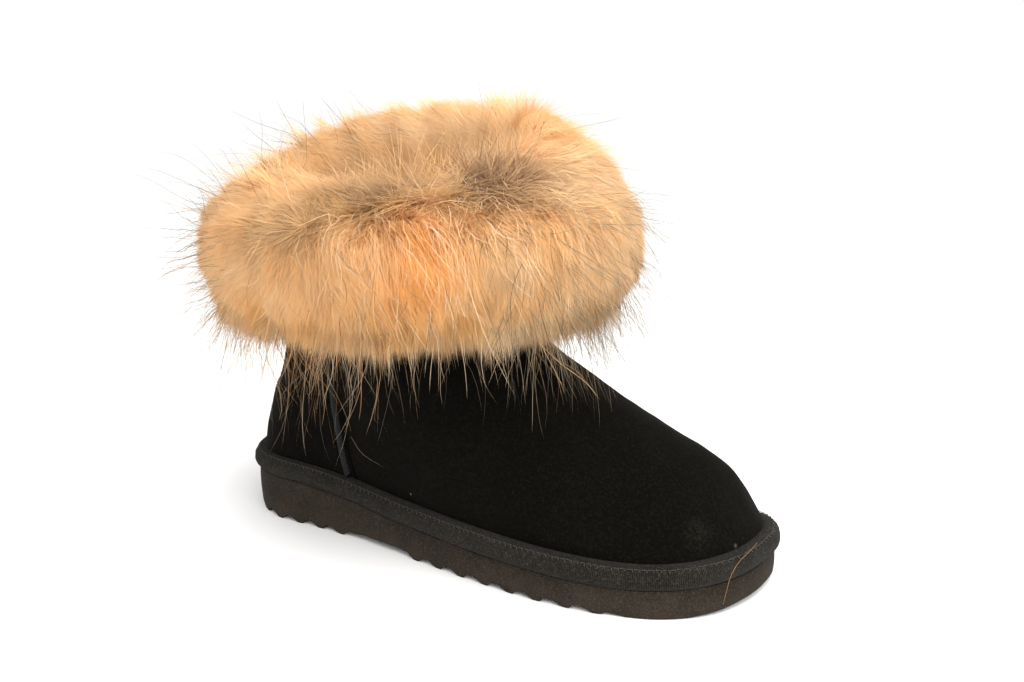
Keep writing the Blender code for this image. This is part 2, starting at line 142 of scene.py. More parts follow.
# How finely the pieces are divided
TAPE_AROUND = 1000
TAPE_OUTLINE = 12
LINE_AROUND = 2000
UPPER_AROUND = 280
UPPER_ROWS = 120
LINING_AROUND = 130
LINING_ROWS = 48
PANEL_AROUND = 352
COUNTER_ROWS = 56
COUNTER_COLUMNS = 120
SEAM_ROWS = 190
INSOLE_AROUND = 260
INSOLE_RINGS = 16
FIRST_ROW = 0.75
FUR_AROUND = 300
FUR_ROWS = 120
FUR_BODY_SKIP = 3
CREST_COUNT = 20000
GUARD_STEPS = 8
LOOSE_STEPS = 12

SolePlan = namedtuple("SolePlan", "along width outer inner")
SOLE_PLAN = (
    SolePlan(0.00, HEEL_WIDTH, 0.500, 0.500),
    SolePlan(0.14, HEEL_WIDTH, 0.500, 0.500),
    SolePlan(0.28, HEEL_WIDTH, 0.500, 0.472),
    SolePlan(0.42, WAIST_WIDTH, 0.550, 0.450),
    SolePlan(0.58, BALL_WIDTH, 0.488, 0.425),
    SolePlan(0.70, BALL_WIDTH, 0.507, 0.490),
    SolePlan(0.80, BALL_WIDTH, 0.497, 0.485),
    SolePlan(0.90, TOE_WIDTH, 0.535, 0.465),
    SolePlan(1.00, TOE_WIDTH, 0.535, 0.465),
)

Height = namedtuple("Height", "along height")
SOLE_TOP = (
    Height(0.00, HEEL_THICK),
    Height(0.15, HEEL_THICK),
    Height(0.42, WAIST_THICK),
    Height(0.72, BALL_THICK),
    Height(0.88, 0.5 * BALL_THICK + 0.5 * TOE_THICK + 0.1 * TOE_SPRING),
    Height(1.00, TOE_THICK + TOE_SPRING),
)
# One lug from the flat land at its tip to the next, in shares of the pitch and of the depth
LUG_FORM = (Height(0.00, 0.0), Height(0.22, 1.0), Height(0.48, 0.75))
ARCH_FORM = (
    Height(0.06, 0.70),
    Height(0.30, 0.95),
    Height(0.55, 1.00),
    Height(0.78, 0.95),
    Height(0.90, 0.85),
)
TOE_BOTTOM = (
    Height(0.20, 0.00),
    Height(0.42, 0.00),
    Height(0.66, 0.12),
    Height(0.85, 0.50),
    Height(1.00, 1.00),
)

Binding = namedtuple("Binding", "out lip height")
BINDING_FORM = (
    Binding(0.10, 0.00, 0.00),
    Binding(0.75, 0.00, 0.18),
    Binding(1.00, 0.00, 0.42),
    Binding(0.80, 0.00, 0.68),
    Binding(0.00, 0.08, 0.90),
    Binding(0.00, 1.00, 1.00),
)

Section = namedtuple("Section", "instep shaft back front heel waist ball toe foot")
UPPER = (
    Section(0.00, 0.00, 0.00, 1.000, 1.00, 1.00, 1.00, 1.00, 1.00),
    Section(0.03, 0.00, 0.00, 1.000, 1.00, 1.00, 1.00, 1.00, 1.00),
    Section(0.11, 0.00, 0.10, 0.988, 1.00, 1.03, 1.01, 0.96, 0.97),
    Section(0.21, 0.00, 0.17, 0.971, 0.99, 1.05, 1.00, 0.94, 0.92),
    Section(0.31, 0.00, 0.24, 0.948, 0.97, 1.05, 0.97, 0.89, 0.86),
    Section(0.41, 0.00, 0.34, 0.907, 0.95, 1.04, 0.94, 0.83, 0.80),
    Section(0.51, 0.00, 0.44, 0.852, 0.93, 1.03, 0.91, 0.78, 0.72),
    Section(0.62, 0.00, 0.55, 0.790, 0.91, 1.00, 0.88, 0.75, 0.62),
    Section(0.74, 0.00, 0.66, 0.721, 0.90, 0.98, 0.85, 0.73, 0.52),
    Section(0.87, 0.00, 0.76, 0.651, 0.91, 0.97, 0.84, 0.74, 0.42),
    Section(1.00, 0.00, 0.84, 0.600, 0.93, 0.97, 0.87, 0.79, 0.30),
    Section(1.00, 0.22, 0.90, 0.580, 0.96, 0.98, 0.93, 0.88, 0.18),
    Section(1.00, 0.45, 0.95, 0.572, 0.99, 0.99, 0.97, 0.95, 0.09),
    Section(1.00, 0.72, 0.98, 0.570, 1.00, 1.00, 1.00, 1.00, 0.03),
    Section(1.00, 1.00, 1.00, 0.570, 1.00, 1.00, 1.00, 1.00, 0.00),
)
WIDTH_PLACES = (0.12, 0.42, 0.70, 0.90)
COLLAR_ROW = len(UPPER) - 1
FUR_ROOT_ROW = 12
COUNTER_TOP_ROW = 6
SEAM_TOP_ROW = 11

# The fur's section, from its root on the ankle, under and round the outside, over the crest to the mouth
Fur = namedtuple("Fur", "out trim crown drop lift")
FUR_FORM = (
    Fur(0.28, 0.00, 0.00, 0.90, 1.00),
    Fur(0.56, 0.00, 0.00, 1.00, 1.00),
    Fur(0.81, 0.00, 0.00, 0.92, 0.90),
    Fur(0.97, 0.00, 0.00, 0.67, 0.60),
    Fur(1.05, 0.02, 0.00, 0.37, 0.30),
    Fur(1.06, 0.05, 0.00, 0.06, 0.10),
    Fur(1.00, 0.09, 0.21, 0.00, 0.00),
    Fur(0.86, 0.12, 0.44, 0.00, 0.00),
    Fur(0.66, 0.09, 0.68, 0.00, 0.00),
    Fur(0.42, 0.04, 0.91, 0.00, 0.00),
    Fur(0.14, 0.00, 1.00, 0.00, 0.00),
    Fur(-0.05, 0.00, 0.70, 0.00, 0.00),
    Fur(-0.07, 0.00, 0.02, 0.00, 0.00),
)

# Soft folds of the suede: a trough between two places in the frame, its width and depth
Crease = namedtuple("Crease", "start end width depth")
CREASES = (
    Crease((0.116, -0.034, 0.104), (0.128, 0.004, 0.101), 0.0050, 0.0011),
    Crease((0.128, 0.004, 0.101), (0.118, 0.034, 0.103), 0.0050, 0.0010),
    Crease((0.092, -0.040, 0.083), (0.121, -0.032, 0.094), 0.0060, 0.0009),
    Crease((0.086, 0.038, 0.080), (0.119, 0.031, 0.092), 0.0060, 0.0009),
    Crease((0.128, -0.036, 0.060), (0.158, -0.020, 0.070), 0.0080, 0.0006),
    Crease((0.158, -0.020, 0.070), (0.160, 0.018, 0.069), 0.0080, 0.0006),
    Crease((0.004, -0.030, 0.075), (0.034, -0.037, 0.083), 0.0060, 0.0008),
    Crease((0.004, 0.030, 0.073), (0.036, 0.036, 0.082), 0.0060, 0.0008),
    Crease((-0.014, -0.012, 0.086), (-0.014, 0.012, 0.087), 0.0050, 0.0008),
    Crease((0.060, -0.040, 0.034), (0.110, -0.042, 0.030), 0.0050, -0.0006),
    Crease((0.150, -0.046, 0.027), (0.190, -0.040, 0.026), 0.0050, -0.0005),
)

# Specks of lint on the suede, in the frame
Lint = namedtuple("Lint", "place radius colour")
LINT = (
    Lint((0.084, -0.038, 0.029), 0.0008, (0.30, 0.27, 0.22)),
    Lint((-0.009, -0.036, 0.024), 0.0006, (0.14, 0.12, 0.10)),
    Lint((0.2255, -0.007, 0.024), 0.0014, (0.06, 0.055, 0.045)),
)
# Painted shade in the groove in front of the side seams, a near-black line: how it leans along x as it rises,
# and where it is
SEAM_SLOPE = 0.17
GROOVE_SHADE_PLACE = 0.0528

RNG = np.random.default_rng(11)


def smooth(at, places, values):
    """Values of the smooth curve through a table's rows."""
    at = np.clip(at, places[0], places[-1])
    places = np.asarray(places, float)
    values = np.asarray(values, float)
    slopes = np.gradient(values, places)
    row = np.clip(np.searchsorted(places, at) - 1, 0, len(places) - 2)
    step = places[row + 1] - places[row]
    u = (at - places[row]) / step
    start = (2 * u**3 - 3 * u**2 + 1) * values[row] + (u**3 - 2 * u**2 + u) * step * slopes[row]
    end = (3 * u**2 - 2 * u**3) * values[row + 1] + (u**3 - u**2) * step * slopes[row + 1]
    return start + end


def column(table, name):
    return [getattr(row, name) for row in table]


def at_row(table, name, rows):
    """A table's column between its rows."""
    return smooth(np.asarray(rows, float), np.arange(len(table)), column(table, name))


def unit(vectors):
    return vectors / np.maximum(np.linalg.norm(vectors, axis=-1, keepdims=True), 1e-12)


def dot(a, b):
    return (a * b).sum(axis=-1, keepdims=True)


def run_along(line):
    """How far along a line of points each of them lies."""
    return np.concatenate([[0], np.cumsum(np.linalg.norm(np.diff(line, axis=0), axis=1))])


def ease(value, low, high):
    """0 below low and 1 above high, soft between."""
    share = np.clip((value - low) / (high - low), 0, 1)
    return share * share * (3 - 2 * share)


def placed(points):
    return points - np.array([ORIGIN_FROM_BACK, 0.0, 0.0])


class Waves:
    """Smooth noise in space, as a sum of a few seeded waves. Its values lie about between -1 and 1."""

    def __init__(self, size, count=14):
        self.push = unit(RNG.normal(size=(count, 3))) * 2 * math.pi / size * RNG.uniform(0.6, 1.5, (count, 1))
        self.phase = RNG.uniform(0, 2 * math.pi, count)
        self.share = math.sqrt(2 / count) * 0.7

    def __call__(self, points):
        return np.sin(points @ self.push.T + self.phase).sum(axis=-1) * self.share


def round_end(share):
    share = np.clip(share, 0.0, 1.0)
    return (1 - (1 - share) ** ROUNDNESS) ** (1 / ROUNDNESS)


def swing(x):
    return TIP_SWING * np.clip((x / LENGTH - SWING_START) / (1 - SWING_START), 0, 1) ** 2


def sole_side(x, side):
    """Points of one side of the sole's outline: side is -1 on the outer side, 1 on the inner."""
    reach = column(SOLE_PLAN, "outer" if side < 0 else "inner")
    widths = np.array(reach) * np.array(column(SOLE_PLAN, "width"))
    half = smooth(x / LENGTH, column(SOLE_PLAN, "along"), widths)
    half = half * round_end(x / HEEL_ROUND) * round_end((LENGTH - x) / TOE_ROUND)
    return np.column_stack([x, swing(x) + side * half])


def sole_loop(outer_x, inner_x):
    """Closed outline: heel, outer side, toe, inner side. Both lists of places run from heel to toe."""
    return np.concatenate([sole_side(outer_x, -1), sole_side(inner_x, 1)[-2:0:-1]])


def places_along(count):
    """Places from heel to toe that lie closer together at both ends."""
    return LENGTH * (1 - np.cos(np.linspace(0, np.pi, count))) / 2


def even_places(side, count):
    """Places along the sole that part one side of its outline into equal lengths."""
    x = places_along(1600)
    run = run_along(sole_side(x, side))
    return np.interp(np.linspace(0, run[-1], count), run, x)


def even_loop(around):
    half = around // 2 + 1
    return sole_loop(even_places(-1, half), even_places(1, half))


def outward(loop):
    along = unit(np.roll(loop, -1, axis=0)[:, :2] - np.roll(loop, 1, axis=0)[:, :2])
    return np.column_stack([along[:, 1], -along[:, 0]])


def moved_out(loop, by):
    moved = np.array(loop, float)
    moved[:, :2] += outward(loop) * np.reshape(by, (-1, 1))
    return moved


def at_height(loop, height):
    return np.column_stack([loop[:, :2], np.broadcast_to(height, len(loop))])


def sole_top(x):
    return smooth(np.asarray(x) / LENGTH, column(SOLE_TOP, "along"), column(SOLE_TOP, "height"))


def midsole_top(x):
    return sole_top(x) + BINDING_HEIGHT - BINDING_WALL - GAP


def lug_points(start, count):
    """Places and heights of the break lines of a row of lugs."""
    points = []
    for number in range(count):
        tip = start + number * LUG_PITCH
        points.append((tip - LUG_LAND, 0.0))
        if number < count - 1:
            points += [(tip + row.along * LUG_PITCH, row.height * LUG_DEPTH) for row in LUG_FORM]
        else:
            points.append((tip, 0.0))
    return points


def sole_bottom(x):
    """Height of the sole's underside: lugs, raised arch, lugs and toe, with soft edges."""
    heel = lug_points(HEEL_LUG_START, HEEL_LUGS)
    fore = lug_points(FORE_LUG_START, FORE_LUGS)
    arch_start = heel[-1][0]
    arch_run = fore[0][0] - arch_start
    arch = [(arch_start + row.along * arch_run, row.height * ARCH_RISE) for row in ARCH_FORM]
    toe_start = fore[-1][0]
    notch = [(toe_start + LUG_FORM[1].along * LUG_PITCH, LUG_DEPTH / 2)]
    toe = [(toe_start + row.along * (LENGTH - toe_start), row.height * TOE_SPRING) for row in TOE_BOTTOM]
    lines = np.array([(0.0, LUG_DEPTH / 4)] + heel + arch + fore + notch + toe)
    soft = np.linspace(-EDGE_SOFT, EDGE_SOFT, 3)
    return np.mean([np.interp(x + shift, lines[:, 0], lines[:, 1]) for shift in soft], axis=0)


def upper_sections(rows, around):
    """The upper's outer surface: a loop for each row place of the table."""
    foot = moved_out(even_loop(around), -(BINDING_LIP + GAP))
    back = foot[0, 0]
    length = foot[:, 0].max() - back
    along = (foot[:, 0] - back) / length
    inner = foot[-np.arange(around)]
    half = (foot[:, 1] - inner[:, 1]) / 2
    middle = (foot[:, 1] + inner[:, 1]) / 2
    oval = ANKLE_WIDTH / 2 * np.sqrt(np.clip(1 - (2 * along - 1) ** 2, 0, 1)) * np.sign(half)
    seat = midsole_top(foot[:, 0]) + GAP
    level = midsole_top(LENGTH) + GAP
    form = {name: at_row(UPPER, name, rows) for name in Section._fields}
    loops = []
    for number in range(len(rows)):
        at = {name: values[number] for name, values in form.items()}
        start = back + at["back"] * HEEL_LEAN
        end = back + at["front"] * length
        x = start + along * (end - start)
        shape = half * at["foot"] + oval * (1 - at["foot"])
        y = shape * smooth(along, WIDTH_PLACES, [at["heel"], at["waist"], at["ball"], at["toe"]])
        z = level + (seat - level) * at["foot"] + at["instep"] * INSTEP_RISE + at["shaft"] * SHAFT_RISE
        loops.append(np.column_stack([x, y + middle * at["foot"], z]))
    return np.array(loops)


def grid_normals(grid, closed=True):
    """Normals of a grid of points whose rows run heel, outer side, toe, inner side and rise."""
    if closed:
        around = np.roll(grid, -1, axis=1) - np.roll(grid, 1, axis=1)
    else:
        around = np.gradient(grid, axis=1)
    return unit(np.cross(around, np.gradient(grid, axis=0)))


def upper_surface(rows, around):
    """Points and normals of the upper, its normals level where it is cut off at foot and collar."""
    grid = upper_sections(rows, around)
    normals = grid_normals(grid)
    level = (rows < 1.0) | (rows > COLLAR_ROW - 0.01)
    normals[level, :, 2] = 0
    return grid, unit(normals)


def on_grid(values, row, place):
    """Value of a grid between its rows and columns; places past its last column go round."""
    rows, around = values.shape[:2]
    row = np.clip(row, 0, rows - 1.0001)
    low, left = np.floor(row).astype(int), np.floor(place).astype(int)
    up, right = (row - low)[..., None], (place - left)[..., None]
    left, after = left % around, (left + 1) % around
    below = (1 - right) * values[low, left] + right * values[low, after]
    above = (1 - right) * values[low + 1, left] + right * values[low + 1, after]
    return (1 - up) * below + up * above


def crease_depth(points):
    """How far the listed folds push the suede in at each point of the frame."""
    depth = np.zeros(points.shape[:-1])
    for fold in CREASES:
        start, run = np.array(fold.start), np.subtract(fold.end, fold.start)
        share = np.clip((points - start) @ run / (run @ run), 0, 1)
        away = np.linalg.norm(points - start - share[..., None] * run, axis=-1) / fold.width
        ends = np.sin(np.pi * np.clip(share, 0.08, 0.92))
        depth += fold.depth * ends * (1 - 0.9 * away**2) * np.exp(-(away**2))
    return depth


def add_mesh(name, points, faces, material):
    """A shown piece that rides on the boot."""
    mesh = bpy.data.meshes.new(name)
    mesh.from_pydata(np.asarray(points, np.float32), [], faces)
    mesh.update()
    mesh.materials.append(material)
    mesh.polygons.foreach_set("use_smooth", np.full(len(mesh.polygons), True))
    made = bpy.data.objects.new(name, mesh)
    bpy.context.scene.collection.objects.link(made)
    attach(made, "root")
    return made


def add_values(piece, **values):
    """Numbers kept on the points of a piece, for its material to read."""
    for name, numbers in values.items():
        kept = piece.data.attributes.new(name, "FLOAT", "POINT")
        kept.data.foreach_set("value", np.asarray(numbers, np.float32).ravel())


def bands(row_count, around, closed):
    """Faces between neighbouring loops; closed also joins the last loop to the first."""
    low = np.arange(row_count if closed else row_count - 1)[:, None] * around
    high = (low + around) % (row_count * around)
    step = np.arange(around)
    after = (step + 1) % around
    faces = np.stack([low + step, low + after, high + after, high + step], axis=-1)
    return faces.reshape(-1, 4)


def add_ring(name, loops, material):
    """A closed piece through loops of points, the last loop joined to the first."""
    faces = bands(len(loops), len(loops[0]), closed=True)
    return add_mesh(name, loops.reshape(-1, 3), faces, material)


def capped_faces(row_count, around):
    """Faces of a solid: bands between its loops, and strips across its first and last loop."""
    faces = [tuple(face) for face in bands(row_count, around, closed=False)]
    for start, turned in ((0, True), ((row_count - 1) * around, False)):
        for step in range(around // 2):
            corners = [step, step + 1, (around - step - 1) % around, (around - step) % around]
            corners = [start + corner for corner in dict.fromkeys(corners)]
            faces.append(tuple(corners if turned else corners[::-1]))
    return faces


def sheet_faces(rows, columns):
    """Faces of an open grid."""
    low = (np.arange(rows - 1)[:, None] * columns + np.arange(columns - 1)).ravel()
    return np.column_stack([low, low + 1, low + columns + 1, low + columns])


def closed_sheet(front, back):
    """Points and faces of a thin solid between two open grids of the same size."""
    rows, columns = front.shape[:2]
    total = rows * columns
    skin = sheet_faces(rows, columns)
    rim = [np.arange(columns - 1), np.arange(rows - 1) * columns + columns - 1]
    rim += [np.arange(total - 1, total - columns, -1), np.arange(rows - 1, 0, -1) * columns]
    edge = np.concatenate(rim)
    after = np.roll(edge, -1)
    wall = np.column_stack([after, edge, edge + total, after + total])
    faces = np.concatenate([skin, skin[:, ::-1] + total, wall])
    return np.concatenate([front.reshape(-1, 3), back.reshape(-1, 3)]), faces


def tubes(paths, radius, up, sides):
    """Closed tubes along many paths of the same count of points, pointed at both ends."""
    count, steps = paths.shape[:2]
    along = unit(np.gradient(paths, axis=1))
    side = unit(np.cross(along, up))
    lift = np.cross(side, along)
    turn = np.linspace(0, 2 * math.pi, sides, endpoint=False)
    ring = np.cos(turn)[:, None] * side[:, 1:-1, None] + np.sin(turn)[:, None] * lift[:, 1:-1, None]
    rings = paths[:, 1:-1, None] + ring * radius[:, 1:-1, None, None]
    loops = steps - 2
    size = loops * sides + 2
    points = np.concatenate([paths[:, :1], rings.reshape(count, -1, 3), paths[:, -1:]], axis=1)
    step, after = np.arange(sides), (np.arange(sides) + 1) % sides
    first = np.column_stack([np.zeros(sides, int), 1 + step, 1 + after])
    low = 1 + np.arange(loops - 1)[:, None] * sides
    a, b = (low + step).ravel(), (low + after).ravel()
    wall = np.concatenate([np.column_stack([a, a + sides, b]), np.column_stack([b, a + sides, b + sides])])
    end = 1 + (loops - 1) * sides
    last = np.column_stack([np.full(sides, size - 1), end + after, end + step])
    faces = np.concatenate([first, wall, last])
    faces = (faces[None] + np.arange(count)[:, None, None] * size).reshape(-1, 3)
    return points.reshape(-1, 3), faces


class Surface:
    """Builds one procedural material around a Principled BSDF."""

    def __init__(self, name, roughness, **constants):
        self.material = bpy.data.materials.new(name)
        self.material.use_nodes = True
        self.nodes = self.material.node_tree.nodes
        self.links = self.material.node_tree.links
        self.shader = self.nodes["Principled BSDF"]
        self.shader.inputs["Roughness"].default_value = roughness
        for label, value in constants.items():
            self.shader.inputs[label.replace("_", " ")].default_value = value
        self.place = self.nodes.new("ShaderNodeTexCoord").outputs["Object"]

    def node(self, kind, **settings):
        made = self.nodes.new(kind)
        for name, value in settings.items():
            setattr(made, name, value)
        return made

    def put(self, socket, value):
        if isinstance(value, bpy.types.NodeSocket):
            self.links.new(value, socket)
        elif isinstance(value, tuple) and len(value) == 3 and socket.type == "RGBA":
            socket.default_value = (*value, 1.0)
        else:
            socket.default_value = value

    def stretched(self, scale, turn=(0.0, 0.0, 0.0)):
        """The object's coordinates scaled along the axes after a turn."""
        made = self.node("ShaderNodeMapping")
        self.put(made.inputs["Vector"], self.place)
        made.inputs["Rotation"].default_value = turn
        made.inputs["Scale"].default_value = scale
        return made.outputs["Vector"]

    def noise(self, scale, detail=3.0, rough=0.55, vector=None):
        made = self.node("ShaderNodeTexNoise")
        self.put(made.inputs["Vector"], vector or self.place)
        made.inputs["Scale"].default_value = scale
        made.inputs["Detail"].default_value = detail
        made.inputs["Roughness"].default_value = rough
        return made.outputs["Fac"]

    def value(self, name):
        return self.node("ShaderNodeAttribute", attribute_name=name).outputs["Fac"]

    def maths(self, operation, first, second=0.0):
        made = self.node("ShaderNodeMath", operation=operation)
        self.put(made.inputs[0], first)
        self.put(made.inputs[1], second)
        return made.outputs[0]

    def span(self, value, low, high, to_low=0.0, to_high=1.0):
        """Maps a value from one range to another, clamped."""
        made = self.node("ShaderNodeMapRange", interpolation_type="SMOOTHSTEP")
        self.put(made.inputs["Value"], value)
        for label, number in (("From Min", low), ("From Max", high), ("To Min", to_low), ("To Max", to_high)):
            made.inputs[label].default_value = number
        return made.outputs["Result"]

    def mix(self, share, first, second):
        made = self.node("ShaderNodeMix", data_type="RGBA")
        self.put(made.inputs["Factor"], share)
        self.put(made.inputs[6], first)
        self.put(made.inputs[7], second)
        return made.outputs[2]

    def tint(self, colour, value, low, high, most, shade):
        """Mixes a shade into a colour, from none of it at one end of a range to the most at the other."""
        return self.mix(self.span(value, low, high, 0.0, most), colour, shade)

    def axis(self, name):
        """One of the object's coordinates."""
        made = self.node("ShaderNodeSeparateXYZ")
        self.put(made.inputs[0], self.place)
        return made.outputs[name]

    def near(self, centre, radius):
        """1 at a place in the frame, falling to 0 at the radius."""
        made = self.node("ShaderNodeVectorMath", operation="DISTANCE")
        self.put(made.inputs[0], self.place)
        made.inputs[1].default_value = centre
        return self.span(made.outputs["Value"], 0.0, radius, 1.0, 0.0)

    def bump(self, height, distance, strength=1.0, below=None):
        made = self.node("ShaderNodeBump")
        made.inputs["Strength"].default_value = strength
        made.inputs["Distance"].default_value = distance
        self.put(made.inputs["Height"], height)
        if below is not None:
            self.put(made.inputs["Normal"], below)
        return made.outputs["Normal"]

    def finish(self, colour, normal=None, roughness=None):
        self.put(self.shader.inputs["Base Color"], colour)
        if normal is not None:
            self.put(self.shader.inputs["Normal"], normal)
        if roughness is not None:
            self.put(self.shader.inputs["Roughness"], roughness)
        return self.material


def suede_surface(name, dark, light):
    """Black suede: brushed patches, a short nap, a soft sheen and a painted shade line along the groove in
    front of the side seams.
    """
    sheen = {"Sheen_Weight": 0.03, "Sheen_Roughness": 0.4, "Sheen_Tint": (1.0, 0.86, 0.74, 1.0)}
    made = Surface(name, 0.95, Specular_IOR_Level=0.03, **sheen)
    patches = made.noise(38.0, 4.0, 0.6)
    nap = made.noise(1500.0, 2.0, 0.7)
    brushed = made.noise(1.0, 3.0, 0.6, made.stretched((300.0, 900.0, 420.0), (0.0, 0.5, 0.2)))
    share = made.maths("MULTIPLY", made.span(patches, 0.35, 0.70), made.span(brushed, 0.30, 0.75))
    share = made.maths("ADD", made.maths("MULTIPLY", share, 0.6), made.span(nap, 0.45, 0.75, 0.0, 0.4))
    grain = made.noise(880.0, 3.0, 0.75)
    colour = made.mix(share, dark, light)
    colour = made.tint(colour, grain, 0.46, 0.74, 0.42, (0.0125, 0.0108, 0.0076))
    scuff = made.maths("MULTIPLY", made.near((0.2155, -0.0195, 0.032), 0.010), made.span(grain, 0.35, 0.65))
    colour = made.mix(made.maths("MULTIPLY", scuff, 0.30), colour, (0.024, 0.021, 0.017))
    for speck in LINT:
        colour = made.mix(made.near(speck.place, speck.radius), colour, speck.colour)
    # Painted shade: a near-black line where the groove in front of the side seams lies in shadow.
    line = made.maths("ADD", made.axis("X"), made.maths("MULTIPLY", made.axis("Z"), SEAM_SLOPE))
    groove_shade = made.maths("ABSOLUTE", made.maths("SUBTRACT", line, GROOVE_SHADE_PLACE))
    groove_shade = made.span(groove_shade, 0.0004, 0.0012, 1.0, 0.0)
    colour = made.mix(groove_shade, colour, (0.0003, 0.0003, 0.0003))
    rough = made.bump(brushed, 0.00030, 0.5)
    normal = made.bump(nap, 0.00025, 0.7, rough)
    return made.finish(colour, normal, made.span(patches, 0.3, 0.7, 0.88, 1.0))


def thread_surface(name, dark, light):
    """Twisted sewing thread."""
    made = Surface(name, 0.7, Specular_IOR_Level=0.3)
    twist = made.noise(2600.0, 2.0, 0.6)
    colour = made.mix(made.span(twist, 0.35, 0.65), dark, light)
    return made.finish(colour, made.bump(twist, 0.0001, 0.6))


def foam_surface():
    """Matt moulded foam with fine pits, paler near the floor and darker up under the tape, a painted shade of
    the tape's overhang.
    """
    made = Surface("foam_rubber", 0.85, Specular_IOR_Level=0.10)
    cloudy = made.noise(45.0, 5.0, 0.65)
    pits = made.noise(1400.0, 2.0, 0.6)
    # Painted shade: the wall is left darker up under the tape's overhang and paler towards the floor.
    low = made.span(made.axis("Z"), 0.002, 0.013, 1.0, 0.0)
    share = made.maths("ADD", made.maths("MULTIPLY", low, 0.35), made.span(cloudy, 0.35, 0.70, 0.0, 0.65))
    colour = made.mix(share, (0.013, 0.0102, 0.0072), (0.036, 0.0280, 0.0205))
    colour = made.tint(colour, pits, 0.50, 0.72, 0.7, (0.058, 0.043, 0.031))
    colour = made.mix(made.span(pits, 0.30, 0.45, 0.6, 0.0), colour, (0.006, 0.005, 0.004))
    normal = made.bump(pits, 0.00016, 0.7, made.bump(cloudy, 0.0008, 0.4))
    return made.finish(colour, normal, made.span(cloudy, 0.3, 0.7, 0.75, 0.95))


def tape_surface():
    """Ribbed woven tape: ribs across it, fine weft along it and a little dust."""
    made = Surface("binding_tape", 0.9, Specular_IOR_Level=0.06, Sheen_Weight=0.03, Sheen_Roughness=0.5)
    ribs = made.maths("SINE", made.maths("MULTIPLY", made.value("run"), 2 * math.pi / RIB_PITCH))
    weft = made.maths("SINE", made.maths("MULTIPLY", made.value("rise"), 2 * math.pi / WEFT_PITCH))
    weave = made.maths("ADD", ribs, made.maths("MULTIPLY", weft, 0.35))
    fluff = made.noise(900.0, 3.0, 0.7)
    cloudy = made.noise(60.0, 3.0, 0.6)
    share = made.maths("MULTIPLY", made.span(weave, -1.2, 1.2), made.span(cloudy, 0.25, 0.75, 0.5, 1.0))
    colour = made.mix(share, (0.0022, 0.0020, 0.0016), (0.0270, 0.0242, 0.0196))
    colour = made.tint(colour, fluff, 0.50, 0.70, 0.6, (0.050, 0.043, 0.034))
    specks = made.noise(2300.0, 2.0, 0.7)
    colour = made.tint(colour, specks, 0.56, 0.70, 0.6, (0.070, 0.060, 0.050))
    colour = made.mix(made.span(specks, 0.30, 0.44, 0.6, 0.0), colour, (0.0015, 0.0014, 0.0012))
    normal = made.bump(fluff, 0.00012, 0.6, made.bump(weave, 0.00010, 0.9))
    return made.finish(colour, normal)


def fleece_surface(name, dark, light):
    """Curly wool fleece."""
    made = Surface(name, 0.95, Specular_IOR_Level=0.1, Sheen_Weight=0.3, Sheen_Roughness=0.5)
    curls = made.noise(420.0, 4.0, 0.65)
    colour = made.mix(made.span(curls, 0.35, 0.65), dark, light)
    return made.finish(colour, made.bump(curls, 0.0012, 0.9))


def fur_surface(name, guard):
    """Long fur: brownish roots, golden tan length, patches of orange, dusty tan, grey-brown and cream; the
    grey-brown also holds painted shade under the coat, deep in the mouth and in the parting, and one cream
    patch is painted light.
    """
    sheen = {"Sheen_Weight": 0.35, "Sheen_Roughness": 0.5, "Sheen_Tint": (1.0, 0.80, 0.58, 1.0)}
    made = Surface(name, 0.60, Specular_IOR_Level=0.22, **sheen)
    through = made.node("ShaderNodeBsdfTranslucent")
    both = made.node("ShaderNodeMixShader")
    both.inputs[0].default_value = 0.40
    made.put(both.inputs[1], made.shader.outputs[0])
    made.put(both.inputs[2], through.outputs[0])
    made.put(made.nodes["Material Output"].inputs["Surface"], both.outputs[0])
    along, shade = made.value("along"), made.value("shade")
    orange, brown, pale = made.value("orange"), made.value("brown"), made.value("pale")
    length = made.mix(shade, (0.86, 0.510, 0.205), (0.98, 0.690, 0.350))
    length = made.mix(made.maths("MULTIPLY", pale, 0.8), length, (0.98, 0.770, 0.500))
    length = made.mix(made.value("dusty"), length, (0.60, 0.400, 0.235))
    length = made.mix(orange, length, (0.95, 0.480, 0.120))
    root = made.mix(shade, (0.70, 0.410, 0.190), (0.84, 0.530, 0.270))
    colour = made.mix(made.span(along, 0.0, 0.45), root, length)
    rooted = made.maths("MULTIPLY", brown, made.span(along, 0.35, 1.0, 1.0, 0.55))
    colour = made.mix(rooted, colour, made.mix(shade, (0.085, 0.034, 0.018), (0.38, 0.190, 0.098)))
    if guard:
        colour = made.mix(made.maths("MULTIPLY", pale, 0.8), colour, (0.99, 0.88, 0.68))
        colour = made.mix(made.maths("MULTIPLY", orange, 0.8), colour, (0.98, 0.42, 0.12))
        dark = made.value("dark")
        colour = made.mix(dark, colour, made.mix(along, (0.055, 0.035, 0.025), (0.015, 0.011, 0.009)))
    made.put(through.inputs["Color"], colour)
    return made.finish(colour)


